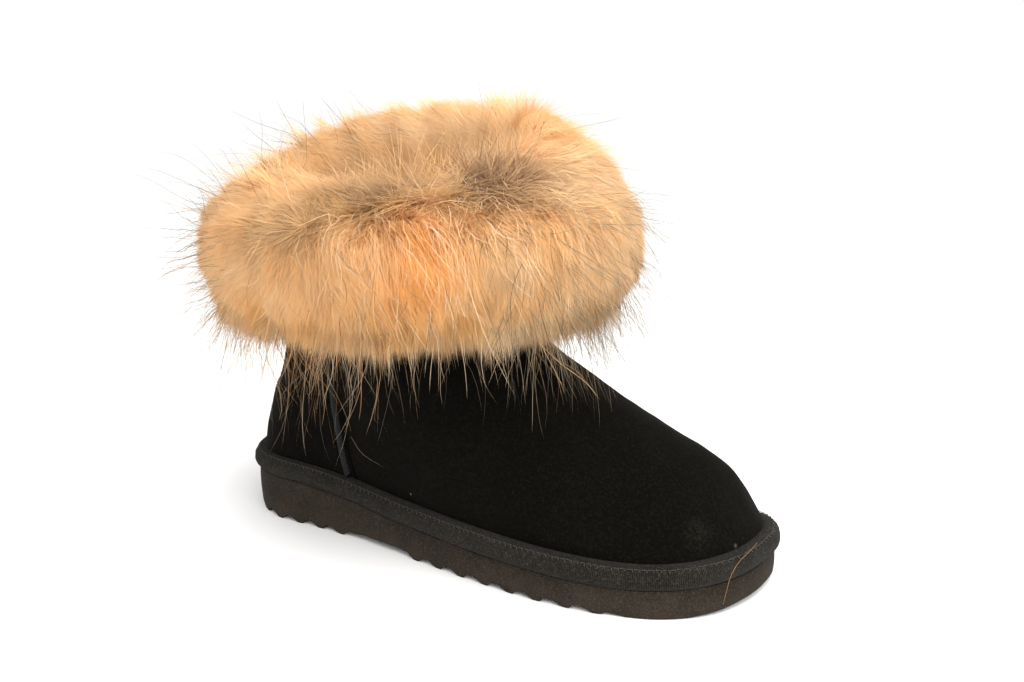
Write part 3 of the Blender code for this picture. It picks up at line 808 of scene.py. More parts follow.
def make_outsole():
    """The foam sole with softly rounded lugs, a slightly swollen wall and rounded edges."""
    fine = np.linspace(0, 1, 420)
    x = np.sort(np.concatenate([places_along(90), LENGTH * fine[1:-1]]))
    x = x[np.concatenate([[True], np.diff(x) > 0.00018])]
    x[-1] = LENGTH
    loop = sole_loop(x, x)
    along = np.concatenate([x, x[-2:0:-1]])
    low = sole_bottom(along)
    top = sole_top(along)
    rise = top - low
    rows = np.array([0.0, 0.006, 0.02, 0.05, 0.10, 0.2, 0.32, 0.45, 0.6, 0.74, 0.86, 0.94, 0.98, 1.0])
    round_low = LOW_EDGE_ROUND * (1 - np.sqrt(1 - (1 - np.clip(rows * 16, 0, 1)) ** 2))
    round_top = TOP_EDGE_ROUND * (1 - np.sqrt(1 - (1 - np.clip((1 - rows) * 25, 0, 1)) ** 2))
    swell = SIDE_BULGE * np.sin(np.pi * np.clip(rows, 0, 1))
    uneven = Waves(0.030)
    loops = []
    for row, inward in zip(rows, round_low + round_top - swell):
        level = at_height(loop, low + row * rise)
        wave = 0.00018 * uneven(level)
        loops.append(at_height(moved_out(level, wave - inward), level[:, 2]))
    faces = capped_faces(len(rows), len(loop))
    piece = add_mesh("outsole_foam", placed(np.concatenate(loops)), faces, foam_surface())
    fix_normals(piece)
    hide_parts("outsole")


def fix_normals(piece):
    """Turns all faces of a closed piece outwards."""
    form = bmesh.new()
    form.from_mesh(piece.data)
    bmesh.ops.recalc_face_normals(form, faces=form.faces)
    form.to_mesh(piece.data)
    form.free()
    piece.data.shade_smooth()
    piece.data.set_sharp_from_angle(angle=math.radians(50))


def binding_outline(count):
    """The tape's rounded section: how far out and how high it is at places along it."""
    places = np.arange(len(BINDING_FORM))
    rows = np.linspace(0, len(BINDING_FORM) - 1, count)
    out = smooth(rows, places, [row.out * BINDING_REACH - row.lip * BINDING_LIP for row in BINDING_FORM])
    height = smooth(rows, places, [row.height * BINDING_HEIGHT + GAP for row in BINDING_FORM])
    return out, np.clip(height, GAP, BINDING_HEIGHT + GAP)


def make_binding():
    """The ribbed tape round the midsole's edge, a little wavy along its run."""
    loop = even_loop(TAPE_AROUND)
    top = sole_top(loop[:, 0])
    out, height = binding_outline(TAPE_OUTLINE)
    section = list(zip(out, height))
    floor, ceiling = BINDING_WALL + GAP, BINDING_HEIGHT + GAP - BINDING_WALL
    inside = [(max(o - BINDING_WALL, -BINDING_LIP), min(max(h, floor), ceiling)) for o, h in section[::-2]]
    section += [*inside, (-BINDING_LIP, floor), (-BINDING_LIP, GAP)]
    wavy, fine = Waves(0.022), Waves(0.006)
    loops = []
    for reach, rise in section:
        level = at_height(moved_out(loop, reach), top + rise)
        share = ease(np.full(len(level), reach), -BINDING_LIP, 0.0)
        push = share * (0.00028 * wavy(level) + 0.00010 * fine(level))
        loops.append(at_height(moved_out(level, push), level[:, 2] + 0.4 * push))
    piece = add_ring("binding_tape", placed(np.array(loops)), tape_surface())
    rise = run_along(np.array(section))
    add_values(piece, run=np.tile(run_along(loop), len(loops)), rise=np.repeat(rise, TAPE_AROUND))
    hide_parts("edge_binding")


def tape_edge(run_places, inward, lift):
    """Points on the tape's top edge, a distance in from its outside and over it."""
    loop = even_loop(LINE_AROUND)
    run = run_along(loop)
    section = np.column_stack(binding_outline(60))
    section_run = run_along(section)
    at = section_run[-1] - inward
    out, height = (np.interp(at, section_run, values) for values in section.T)
    after = [np.interp(at + SOFT_BEND, section_run, values) for values in section.T]
    before = [np.interp(at - SOFT_BEND, section_run, values) for values in section.T]
    slope_out, slope_up = np.subtract(after, before)
    size = np.hypot(slope_out, slope_up)
    reach = out + lift * slope_up / size
    rise = height - lift * slope_out / size
    columns = np.column_stack([loop, outward(loop)]).T
    x, y, out_x, out_y = (np.interp(run_places, run, values) for values in columns)
    return np.stack([x + out_x * reach, y + out_y * reach, sole_top(x) + rise], axis=-1)


def make_tape_stitches():
    """Stitches over the tape's top edge, each a short slanted thread and a run to the next."""
    count = int(run_along(even_loop(LINE_AROUND))[-1] / TAPE_STITCH_PITCH)
    start = np.arange(count) * TAPE_STITCH_PITCH
    share = np.linspace(0, 1, 9)
    jitter = RNG.normal(0, 0.00012, (count, 1))
    slant = start[:, None] + jitter + np.interp(share, [0, 0.5, 1], [0, 0.0005, 0.0009])
    depth = BINDING_LIP - 0.0005 + np.interp(share, [0, 1], [-0.0004, 0.0014]) + jitter
    lift = np.interp(share, [0, 0.15, 0.5, 0.85, 1], [-0.0002, 0.00022, 0.0003, 0.00022, -0.0002])
    across = tape_edge(slant, depth, lift)
    along_run = start[:, None] + jitter + np.interp(share, [0, 1], [0.0007, TAPE_STITCH_PITCH + 0.0002])
    edge = tape_edge(along_run, np.full_like(along_run, BINDING_LIP - 0.0004) + 0.4 * jitter, lift * 0.8)
    paths = np.concatenate([across, edge])
    up = np.zeros_like(paths)
    up[..., 2] = 1.0
    radius = np.full(paths.shape[:2], TAPE_THREAD)
    points, faces = tubes(paths, radius, up, 5)
    thread = thread_surface("tape_thread", (0.022, 0.020, 0.018), (0.066, 0.060, 0.054))
    add_mesh("tape_stitches", placed(points), faces, thread)


def make_upper():
    """The suede shell with its folds, then the lining inside it."""
    rows = np.linspace(0, COLLAR_ROW, UPPER_ROWS)
    grid, normals = upper_surface(rows, UPPER_AROUND)
    world = placed(grid)
    soft, small = Waves(0.045), Waves(0.012)
    quiet = ease(rows, 0.0, 1.6)[:, None]
    push = quiet * (0.00035 * soft(world) + 0.00010 * small(world)) - crease_depth(world)
    outer = grid + normals * push[..., None]
    inner = grid - normals * SUEDE_THICK
    loops = np.concatenate([outer, inner[::-1][::4], inner[:1]])
    suede = suede_surface("suede", (0.0018, 0.0017, 0.0013), (0.0056, 0.0051, 0.0039))
    piece = add_ring("upper_suede", placed(loops), suede)
    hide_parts("upper")
    make_lining()


def make_lining():
    """The curly fleece on the inside of the suede."""
    rows = np.linspace(0, COLLAR_ROW, LINING_ROWS)
    grid, normals = upper_surface(rows, LINING_AROUND)
    curls = Waves(0.0042, 30)
    seat = grid - normals * (SUEDE_THICK + 0.0001)
    pile = grid - normals * (UPPER_WALL + PILE_THICK + 0.0007 * curls(grid))[..., None]
    pile[-1] = grid[-1] - normals[-1] * UPPER_WALL * 0.8
    loops = np.concatenate([seat, pile[::-1]])
    fleece = fleece_surface("lining_fleece", (0.30, 0.23, 0.15), (0.66, 0.55, 0.40))
    add_ring("lining_fleece", placed(loops), fleece)


def seam_place(grid, rows):
    """The side seam's place round a fine upper grid at each of its rows."""
    half = grid.shape[1] // 2 + 1
    x = SEAM_FOOT + (SEAM_TOP - SEAM_FOOT) * np.minimum(rows / COUNTER_TOP_ROW, 1)
    return np.array([np.interp(x[k], grid[k, :half, 0], np.arange(half)) for k in range(len(rows))])


def make_counter():
    """The raised back panel with soft, slightly rolled edges."""
    rows = np.linspace(FIRST_ROW, COUNTER_TOP_ROW, COUNTER_ROWS)
    grid, normals = upper_surface(rows, PANEL_AROUND)
    edge = seam_place(grid, rows)
    share = np.linspace(-1, 1, COUNTER_COLUMNS)
    places = edge[:, None] * share
    number = np.broadcast_to(np.arange(len(rows))[:, None], places.shape)
    skin, out = on_grid(grid, number, places), on_grid(normals, number, places)
    side = np.clip((1 - abs(share)) * 42, 0, 1)
    top = np.clip((COUNTER_TOP_ROW - rows) * 3.2, 0, 1)
    profile = np.sqrt(1 - (1 - side[None]) ** 2) * np.sqrt(1 - (1 - top[:, None]) ** 2)
    world = placed(skin)
    uneven = 0.00022 * Waves(0.020)(world)
    lift = COUNTER_LIFT + (OVERLAY_THICK + uneven) * profile - crease_depth(world)
    points, faces = closed_sheet(skin + out * lift[..., None], skin + out * LAID_ON)
    suede = suede_surface("suede_counter", (0.0011, 0.0010, 0.0008), (0.0046, 0.0042, 0.0032))
    piece = add_mesh("counter_suede", placed(points), faces, suede)
    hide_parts("heel_counter")


def seam_frame(side, rows):
    """Centre line, normals and cross directions of a side seam."""
    grid, normals = upper_surface(rows, PANEL_AROUND)
    place = side * seam_place(grid, rows)
    number = np.arange(len(rows))
    centre, out = on_grid(grid, number, place), on_grid(normals, number, place)
    along = unit(np.gradient(centre, axis=0))
    across = unit(np.cross(out, along)) * -side
    return centre, out, across


def make_side_seam(name, node, side):
    """A rolled, overlocked seam: the counter's front edge, then on up the shaft into the fur."""
    rows = np.linspace(FIRST_ROW, SEAM_TOP_ROW, SEAM_ROWS)
    centre, out, across = seam_frame(side, rows)
    turn = np.linspace(0, math.pi, 9)
    narrow = np.interp(rows, [FIRST_ROW, COUNTER_TOP_ROW, SEAM_TOP_ROW], [1.0, 0.85, 0.7])[:, None]
    spread = SEAM_WIDTH / 2 * np.cos(turn) * narrow
    lumps = 1 + 0.12 * np.sin(rows * 9.0)[:, None]
    height = 0.0002 + SEAM_RISE * np.sin(turn) ** 0.8 * lumps * narrow
    front = centre[:, None] + across[:, None] * spread[..., None] + out[:, None] * height[..., None]
    back = centre[:, None] + across[:, None] * spread[..., None] + out[:, None] * 0.0001
    points, faces = closed_sheet(front, back)
    suede = suede_surface(name + "_suede", (0.0010, 0.0010, 0.0009), (0.0042, 0.0041, 0.0037))
    piece = add_mesh(name, placed(points), faces, suede)
    fix_normals(piece)
    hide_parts(node)
    make_seam_stitches(name + "_stitches", side)


def make_seam_stitches(name, side):
    """Overlock thread in close slanted loops over the rolled seam."""
    rows = np.linspace(0.8, SEAM_TOP_ROW, 400)
    centre, out, across = seam_frame(side, rows)
    run = run_along(centre)
    number = np.arange(int(run[-1] / SEAM_STITCH_PITCH))
    share = np.linspace(0, 1, 9)
    forward = (number[:, None] + SEAM_STITCH_REACH * share) * SEAM_STITCH_PITCH
    at = {label: np.stack([np.interp(forward, run, values[:, k]) for k in range(3)], axis=-1)
          for label, values in (("centre", centre), ("out", out), ("across", across))}
    half = SEAM_WIDTH / 2 * np.interp(forward, [0, run[-1]], [1.05, 0.75])
    aside = -half * np.cos(np.pi * share)
    height = 0.0003 + 0.0018 * np.sqrt(np.clip(1 - (aside / half) ** 2, 0, 1)) ** 0.9
    paths = at["centre"] + at["across"] * aside[..., None] + at["out"] * height[..., None]
    radius = np.full(paths.shape[:2], SEAM_THREAD)
    points, faces = tubes(paths, radius, at["out"], 6)
    thread = thread_surface(name + "_thread", (0.0022, 0.0028, 0.0031), (0.0120, 0.0145, 0.0155))
    add_mesh(name, placed(points), faces, thread)


def make_insole():
    """The fleece insole, its pile a little uneven."""
    loop = even_loop(INSOLE_AROUND)
    seat = midsole_top(loop[:, 0]) + GAP
    inset = -(BINDING_LIP + GAP + UPPER_WALL + INSOLE_EASE)
    outline = moved_out(loop, inset)
    middle = (outline + outline[-np.arange(INSOLE_AROUND)]) / 2
    curls = Waves(0.0045, 30)
    loops = [at_height(outline, seat), at_height(outline, seat + 0.6 * INSOLE_THICK)]
    for share in np.linspace(0.02, 0.98, INSOLE_RINGS):
        ring = outline * (1 - share) + middle * share
        height = seat + INSOLE_THICK - 0.0010 * (share < 0.05)
        level = at_height(ring, height)
        loops.append(at_height(ring, height - 0.0005 + 0.0006 * curls(level)))
    faces = capped_faces(len(loops), INSOLE_AROUND)
    fleece = fleece_surface("insole_fleece", (0.34, 0.26, 0.17), (0.70, 0.58, 0.42))
    piece = add_mesh("insole_pile", placed(np.concatenate(loops)), faces, fleece)
    fix_normals(piece)
    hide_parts("insole")


FUR_LAST = len(FUR_FORM) - 1
HANG_ROW = 2.3
DOWN = np.array([0.0, 0.0, -1.0])

# Where the coat parts along the near side of its crest, from heel to toe
PARTING = np.array([
    (0.050, -0.078, 0.152),
    (0.068, -0.077, 0.157),
    (0.077, -0.068, 0.161),
    (0.093, -0.052, 0.167),
    (0.108, -0.042, 0.170),
    (0.127, -0.033, 0.171),
    (0.136, -0.025, 0.172),
    (0.146, -0.018, 0.172),
])


def nearest_on(points, line):
    """Each point's nearest place on a broken line, and how far away it is."""
    best = np.broadcast_to(line[0], points.shape)
    least = np.linalg.norm(points - best, axis=-1)
    for start, end in zip(line[:-1], line[1:]):
        run = end - start
        share = np.clip((points - start) @ run / (run @ run), 0, 1)
        spot = start + share[..., None] * run
        away = np.linalg.norm(points - spot, axis=-1)
        best = np.where((away < least)[..., None], spot, best)
        least = np.minimum(away, least)
    return best, least


def fur_ring():
    """Places on a tall ring, on which noise comes out stretched along the fur's sections."""
    height, turn = np.meshgrid(
        FUR_RUN * np.linspace(0, 1, FUR_ROWS),
        2 * math.pi * np.arange(FUR_AROUND) / FUR_AROUND,
        indexing="ij",
    )
    radius = FUR_RING / (2 * math.pi)
    return np.stack([radius * np.cos(turn), radius * np.sin(turn), height], axis=-1)


def fur_grid():
    """Points and normals of the fur's outer form with its soft tufts, and each row's place in the table."""
    collar = upper_sections(np.array([float(COLLAR_ROW)]), FUR_AROUND)[0]
    out = outward(collar)
    front = np.clip(out[:, 0], 0, 1) ** 2
    back = np.clip(-out[:, 0], 0, 1) ** 2
    outer = (1 - out[:, 1]) / 2
    crown = FUR_CROWN - FUR_BACK_FALL * back - FUR_OUTER_FALL * outer
    rows = np.linspace(0, FUR_LAST, FUR_ROWS)
    form = {name: at_row(FUR_FORM, name, rows) for name in Fur._fields}
    loops = []
    for number in range(FUR_ROWS):
        at = {name: values[number] for name, values in form.items()}
        loop = moved_out(collar, (at["out"] - at["trim"] * back) * FUR_DEPTH)
        loop[:, 0] += FUR_FORWARD * max(at["out"], 0)
        loop[:, 2] += at["crown"] * crown - at["drop"] * FUR_DROP + at["lift"] * INSTEP_LIFT * front
        loops.append(loop)
    grid = placed(np.array(loops))
    ring = fur_ring()
    tufts = 0.0013 * Waves(0.016)(ring) + 0.0008 * Waves(0.0075)(ring)
    quiet = ease(rows, 0.0, 1.5) * (1 - 0.6 * ease(rows, 10.5, 12.0))
    grid = grid + grid_normals(grid) * (tufts * quiet[:, None])[..., None]
    return grid, grid_normals(grid), rows


class Pelt:
    """The fur's form as something hairs can grow on: its points, normals and the way its hair lies."""

    def __init__(self):
        self.grid, self.normals, self.rows = fur_grid()
        self.flow = self.lie()
        across = np.cross(self.normals, self.flow)
        up = np.gradient(self.grid, axis=0)
        around = (np.roll(self.grid, -1, axis=1) - np.roll(self.grid, 1, axis=1)) / 2
        self.area = np.linalg.norm(np.cross(up, around), axis=2)
        steps = [self.grid_steps(up, around, way) for way in (self.flow, across)]
        self.steps = np.concatenate(steps, axis=-1)
        self.ring = fur_ring()
        self.long_waves, self.lean_waves = Waves(LOCK_SIZE), Waves(LEAN_SIZE)

    def lie(self):
        """Away from the parting and the mouth, over the crest and down, spread towards heel and toe."""
        section = unit(-np.gradient(self.grid, axis=0))
        level = ease(self.rows, 1.0, 5.0)[:, None, None]
        spot, _ = nearest_on(self.grid, PARTING)
        away = unit(self.grid - spot)
        near = 1 - ease(self.grid[..., 1:2], -0.030, 0.005)
        spread = np.clip((self.grid[..., :1] - 0.100) / 0.075, -1.3, 1.3) * np.array([1.0, 0.0, 0.0])
        sway = 0.25 * Waves(0.035)(self.grid)[..., None] * unit(np.cross(self.normals, section))
        flow = section * (1 - near) + away * near
        crest = ease(self.rows, 6.8, 8.6)[:, None, None] * (1 - ease(self.grid[..., :1], 0.045, 0.110))
        flow = flow + 1.5 * crest * np.array([-0.9, -0.3, 0.0])
        flow = flow * level + DOWN * (1.15 - level) + spread * (0.25 + 0.45 * level) + sway
        return unit(flow - self.normals * dot(flow, self.normals) * (0.35 + 0.65 * level))

    def mess(self, row, place):
        """How much hairs cross each other: most along the parting."""
        _, away = nearest_on(on_grid(self.grid, row, place), PARTING)
        return 1.4 * np.exp(-((away / CROSSED_WIDTH) ** 2))

    @staticmethod
    def grid_steps(up, around, way):
        """Rows and columns passed for each metre along a direction on the form."""
        a, b, c = dot(up, up), dot(up, around), dot(around, around)
        e, f = dot(up, way), dot(around, way)
        size = a * c - b * b
        return np.concatenate([(c * e - b * f) / size, (a * f - b * e) / size], axis=-1)

    def roots(self, count, low, high, chance=None):
        """Row and column places spread evenly over part of the form, or by a chance for each place."""
        weight = self.area * ((self.rows >= low) & (self.rows <= high))[:, None]
        if chance is not None:
            weight = weight * chance
        run = np.cumsum(weight.ravel())
        drawn = np.searchsorted(run / run[-1], RNG.uniform(0, 1, count))
        row, place = np.divmod(drawn, FUR_AROUND)
        row = np.clip(row + RNG.uniform(-0.5, 0.5, count), 0, FUR_ROWS - 1.01)
        return row, place + RNG.uniform(-0.5, 0.5, count)

    def at(self, row, place):
        """Where spots of the form lie: in its table, on the ring and in the frame."""
        t = np.interp(row, np.arange(FUR_ROWS), self.rows)
        return t, on_grid(self.ring, row, place), on_grid(self.grid, row, place)

    def comb(self, row, place, length, lean, heights):
        """Hair lines that follow the form at given heights over it, and hang free where it turns under."""
        steps = heights.shape[1]
        edge = np.interp(HANG_ROW, self.rows, np.arange(FUR_ROWS))
        row, place = row.copy(), place.copy()
        hang = np.zeros((len(row), 3))
        lines, normals = [], []
        for k in range(steps):
            normal = unit(on_grid(self.normals, row, place))
            lines.append(on_grid(self.grid, row, place) + normal * heights[:, k, None] + hang)
            normals.append(normal)
            reach = length / (steps - 1)
            turn = lean * ((k + 0.5) / (steps - 1))
            pace = on_grid(self.steps, row, place)
            move_row = (pace[:, 0] * np.cos(turn) + pace[:, 2] * np.sin(turn)) * reach
            move_place = (pace[:, 1] * np.cos(turn) + pace[:, 3] * np.sin(turn)) * reach
            past = np.clip((edge - row - move_row) / np.maximum(-move_row, 1e-6), 0, 1)
            free = np.where(row < edge, 1.0, past * (move_row < 0))
            fall = 0.35 * on_grid(self.flow, row, place) + (0.5 - 0.45 * k / steps) * normal + DOWN
            fall = fall + 0.5 * np.sin(turn)[:, None] * np.cross(normal, DOWN)
            hang = hang + unit(fall) * (free * reach)[:, None]
            row = np.clip(row + move_row * (1 - free), 0, FUR_ROWS - 1.01)
            place = place + move_place * (1 - free)
        return np.stack(lines, axis=1), np.stack(normals, axis=1)

    def stand(self, row, place, length, lift, turn, steps):
        """Hair lines that rise straight off the form between its lie and its normal, with bent tips."""
        normal = unit(on_grid(self.normals, row, place))
        lie = unit(on_grid(self.flow, row, place))
        lie = lie + np.sin(turn)[:, None] * np.cross(normal, lie)
        way = unit(lie * np.cos(lift)[:, None] + normal * np.sin(lift)[:, None])
        share = np.linspace(0, 1, steps)
        root = on_grid(self.grid, row, place) - STAND_DEPTH * normal
        line = root[:, None] + way[:, None] * (length[:, None] * share)[..., None]
        bend = 0.5 * unit(lie) + 0.5 * DOWN
        line = line + bend[:, None] * (TIP_DROOP * length[:, None] * share**2)[..., None]
        return line, np.repeat(normal[:, None], steps, axis=1)


Patch = namedtuple("Patch", "place radius strength")
ORANGE_PATCHES = (
    Patch((0.118, -0.069, 0.158), 0.012, 0.80),
    Patch((0.120, -0.070, 0.148), 0.018, 0.62),
    Patch((0.123, -0.071, 0.134), 0.024, 0.58),
    Patch((0.110, -0.074, 0.120), 0.022, 0.62),
    Patch((0.105, -0.074, 0.150), 0.010, 0.40),
    Patch((0.092, -0.080, 0.132), 0.018, 0.25),
    Patch((0.055, -0.080, 0.108), 0.020, 0.25),
    Patch((0.060, 0.070, 0.130), 0.024, 0.50),
    Patch((-0.020, 0.020, 0.130), 0.020, 0.40),
)
BROWN_PATCHES = (
    Patch((0.0925, -0.053, 0.168), 0.010, 1.10),
    Patch((0.100, -0.046, 0.171), 0.008, 0.90),
    Patch((0.084, -0.060, 0.165), 0.010, 0.95),
    Patch((0.074, -0.070, 0.161), 0.010, 0.70),
    Patch((0.062, -0.077, 0.157), 0.009, 0.50),
    Patch((0.048, -0.078, 0.152), 0.009, 0.40),
    Patch((0.118, -0.033, 0.175), 0.009, 1.00),
    Patch((0.127, -0.033, 0.172), 0.011, 1.20),
    Patch((0.136, -0.026, 0.173), 0.010, 1.00),
    Patch((0.146, -0.018, 0.173), 0.010, 0.60),
    Patch((0.110, -0.030, 0.178), 0.009, 0.60),
    Patch((0.134, -0.040, 0.164), 0.008, 0.45),
    Patch((0.106, -0.074, 0.117), 0.014, 0.22),
)
# Cream patches of the coat; the last one is painted light on the mouth's far inner wall, where it lies in
# shade.
CREAM_AND_PAINTED_LIGHT_PATCHES = (
    Patch((0.156, 0.009, 0.171), 0.028, 0.90),
    Patch((0.170, -0.001, 0.152), 0.022, 0.50),
    Patch((0.045, 0.036, 0.178), 0.035, 0.50),
)
DUSTY_PATCHES = (
    Patch((-0.012, -0.030, 0.170), 0.030, 0.45),
    Patch((0.010, -0.055, 0.166), 0.024, 0.35),
    Patch((0.010, 0.020, 0.186), 0.026, 0.40),
    Patch((0.145, -0.051, 0.138), 0.016, 0.45),
    Patch((0.125, -0.066, 0.112), 0.014, 0.30),
)


def patched(points, patches):
    """Strength of listed patches of colour at points of the frame."""
    total = np.zeros(points.shape[:-1])
    for patch in patches:
        away = np.linalg.norm(points - np.array(patch.place), axis=-1) / patch.radius
        total = np.maximum(total, patch.strength * np.exp(-(away**2)))
    return total


class Tones:
    """Colour masks of the coat, from listed patches and soft noise."""

    def __init__(self):
        self.broad, self.small = Waves(0.035), Waves(0.010)

    def __call__(self, points, t):
        broad, small = self.broad(points), self.small(points)
        orange = patched(points, ORANGE_PATCHES) + 0.14 * broad + 0.10 * small
        # Brown patches along the parting, and painted shade deep in the mouth by the collar.
        brown = patched(points, BROWN_PATCHES) * (1 + 0.4 * small) + 0.25 * ease(t, 11.2, 12.0) + 0.06 * small
        # Painted shade: the coat made browner where it turns under near the ankle.
        brown = brown + 0.50 * (1 - ease(t, 0.8, 2.8))
        pale = 0.30 + patched(points, CREAM_AND_PAINTED_LIGHT_PATCHES) - 0.16 * broad + 0.10 * small
        dusty = patched(points, DUSTY_PATCHES) * (1 + 0.3 * small)
        masks = {"orange": orange, "brown": brown, "pale": pale, "dusty": dusty}
        return {name: np.clip(values, 0, 1) for name, values in masks.items()}


# How far hairs may reach: an axis, its way and a distance from the frame's origin
Reach = namedtuple("Reach", "axis way far")
FUR_REACH = (Reach(0, -1, 0.0640), Reach(1, -1, 0.1080), Reach(1, 1, 0.1055), Reach(2, 1, 0.2085))
REACH_SOFT = 0.008


def kept_near(paths):
    """Bends hairs over where they would stand off too far."""
    for side in FUR_REACH:
        value = side.way * paths[..., side.axis]
        over = np.maximum(value - side.far + REACH_SOFT, 0)
        paths[..., side.axis] = side.way * (value - over + REACH_SOFT * np.tanh(over / REACH_SOFT))
    return paths


def ribbon_mesh(paths, width, facing):
    """Flat tapering strands: pairs of points along each, and one at the tip."""
    count, steps = paths.shape[:2]
    along = unit(np.gradient(paths, axis=1))
    side = unit(np.cross(along, facing))
    taper = np.sqrt(1 - np.linspace(0, 1, steps) ** 2)[None, :, None] * width[:, None, None] / 2
    left, right = paths - side * taper, paths + side * taper
    pairs = np.stack([left[:, :-1], right[:, :-1]], axis=2).reshape(count, -1, 3)
    points = np.concatenate([pairs, paths[:, -1:]], axis=1)
    size = 2 * (steps - 1) + 1
    low = np.arange(steps - 2) * 2
    first = np.column_stack([low, low + 1, low + 2])
    second = np.column_stack([low + 2, low + 1, low + 3])
    faces = np.concatenate([first, second, [[size - 3, size - 2, size - 1]]])
    faces = (faces[None] + np.arange(count)[:, None, None] * size).reshape(-1, 3)
    return points.reshape(-1, 3), faces, size


def add_hair_map(piece, count, across, along):
    """A texture map that gives each hair its own small cell."""
    cells = math.ceil(math.sqrt(count))
    number = np.arange(count)
    corner = np.column_stack([number % cells, number // cells])[:, None] / cells
    local = np.column_stack([0.15 + 0.7 * across, 0.08 + 0.84 * along])[None] / cells
    places = (corner + local).reshape(-1, 2)
    corners = np.empty(len(piece.data.loops), np.int32)
    piece.data.loops.foreach_get("vertex_index", corners)
    layer = piece.data.uv_layers.new(name="OFBake")
    layer.uv.foreach_set("vector", places[corners].astype(np.float32).ravel())


def hair_values(piece, count, size, along, tones, across):
    """Gives a piece of hair its lengthwise share, its colour masks and its texture map."""
    spread = {name: np.repeat(values, size) for name, values in tones.items()}
    add_values(piece, along=np.tile(along, count), **spread)
    add_hair_map(piece, count, across, along)


Strands = namedtuple("Strands", "name count steps length width stand")
STRANDS = (
    Strands("fur_down_1", 150000, 2, (0.008, 0.013), (0.00026, 0.00042), (0.0005, 0.0036)),
    Strands("fur_down_2", 150000, 2, (0.009, 0.015), (0.00022, 0.00036), (0.0010, 0.0044)),
    Strands("fur_strands_1", 36000, 3, (0.014, 0.023), (0.00018, 0.00030), (0.0006, 0.0036)),
    Strands("fur_strands_2", 36000, 3, (0.015, 0.026), (0.00016, 0.00026), (0.0010, 0.0046)),
)


def make_strands(pelt, tones, material, kind):
    """One share of the dense coat: flat soft strands that follow the form, shorter where they hang."""
    count = kind.count
    row, place = pelt.roots(count, 0.0, FUR_LAST)
    t, ring, root = pelt.at(row, place)
    hung = 0.40 + 0.60 * ease(t, 2.0, 5.0)
    long = RNG.uniform(*kind.length, count) * hung * (1 + 0.20 * pelt.long_waves(ring))
    lean = 0.40 * pelt.lean_waves(ring) + RNG.normal(0, 1, count) * (0.16 + pelt.mess(row, place))
    share = np.linspace(0, 1, kind.steps)
    full = 1 + 0.35 * pelt.long_waves(ring * 0.7) + 0.15 * ease(root[:, 0], 0.12, 0.17)
    tip = (RNG.uniform(*kind.stand, count) * full)[:, None]
    heights = -COAT_DEPTH * (1 - share) ** 1.4 + tip * share**1.2
    paths, normals = pelt.comb(row, place, long, lean, heights)
    masks = coat_masks(pelt, tones, row, place)
    add_strands(kind.name, material, paths, normals, RNG.uniform(*kind.width, count), masks)


def make_crest_hairs(pelt, tones, material):
    """Longer soft hairs that stand on the crest and lean over the mouth, in spiky tufts."""
    count = CREST_COUNT
    across = pelt.grid[..., 1]
    near = 1 - ease(across, -0.045, -0.020)
    chance = 0.8 * near * ease(pelt.rows, 8.2, 9.2)[:, None] + (1 - near) * ease(pelt.rows, 7.6, 9.0)[:, None]
    row, place = pelt.roots(count, 7.6, 11.6, chance)
    _, ring, root = pelt.at(row, place)
    tuft = ease(root[:, 0], 0.05, 0.11)
    far = ease(root[:, 1], -0.045, -0.010)
    long = RNG.uniform(*CREST_LENGTH, count) * (1 + 0.35 * pelt.long_waves(ring)) * (1 + 0.15 * tuft)
    long = long * (1.85 - 0.85 * far)
    lift = RNG.uniform(0.15, 0.85, count) * (0.75 + 0.25 * far) * (0.25 + 0.75 * tuft) + 0.12 * tuft
    mess = RNG.normal(0, 1, count) * (0.13 + pelt.mess(row, place))
    turn = (0.35 + 0.35 * tuft) * pelt.lean_waves(ring * 2.0) + mess
    paths, normals = pelt.stand(row, place, long, lift, turn, 3)
    masks = coat_masks(pelt, tones, row, place)
    add_strands("fur_crest", material, paths, normals, RNG.uniform(*CREST_WIDTH, count), masks)


def coat_masks(pelt, tones, row, place):
    """The colour masks of the coat at the roots of its strands."""
    t, ring, root = pelt.at(row, place)
    masks = tones(root, t)
    masks["shade"] = np.clip(RNG.normal(0.5, 0.22, len(row)) + 0.14 * pelt.long_waves(ring * 1.7), 0, 1)
    masks["brown"] = np.clip(masks["brown"] * RNG.uniform(0.50, 1.35, len(row)), 0, 1)
    return masks


def add_strands(name, material, paths, normals, width, masks):
    """Makes strands along paths into one piece, shaded like the form that they lie on."""
    paths = kept_near(paths)
    count, steps = paths.shape[:2]
    roll = RNG.normal(0, 0.40, (count, 1, 1))
    facing = unit(normals + roll * np.cross(normals, unit(np.gradient(paths, axis=1))))
    points, faces, size = ribbon_mesh(paths, width, facing)
    piece = add_mesh(name, points, faces, material)
    share = np.linspace(0, 1, steps)
    along = np.concatenate([np.repeat(share[:-1], 2), [1.0]])
    across = np.concatenate([np.tile([0.0, 1.0], steps - 1), [0.5]])
    hair_values(piece, count, size, along, masks, across)
    soft = 0.85 * normals + 0.30 * facing
    soft = np.concatenate([np.repeat(soft[:, :-1], 2, axis=1), soft[:, -1:]], axis=1)
    piece.data.normals_split_custom_set_from_vertices(unit(soft).reshape(-1, 3).astype(np.float32))


Guard = namedtuple("Guard", "name count low high length rise lean sway dark pale width")
GUARDS = (
    Guard("guard_hairs", 3600, 2.5, 11.3, (0.014, 0.034), (0.001, 0.004), 0.45, 0.11, 0.12, (0.5, 1.0),
          (0.00014, 0.00026)),
    Guard("fringe_hairs", 1200, 0.2, 4.0, (0.008, 0.046), (0.000, 0.010), 0.90, 0.30, 0.22, (0.0, 1.0),
          (0.00011, 0.00022)),
    Guard("stray_hairs", 2500, 1.2, 11.0, (0.020, 0.046), (0.30, 0.85), 0.45, 0.15, 0.72, (0.2, 0.8),
          (0.00012, 0.00022)),
)


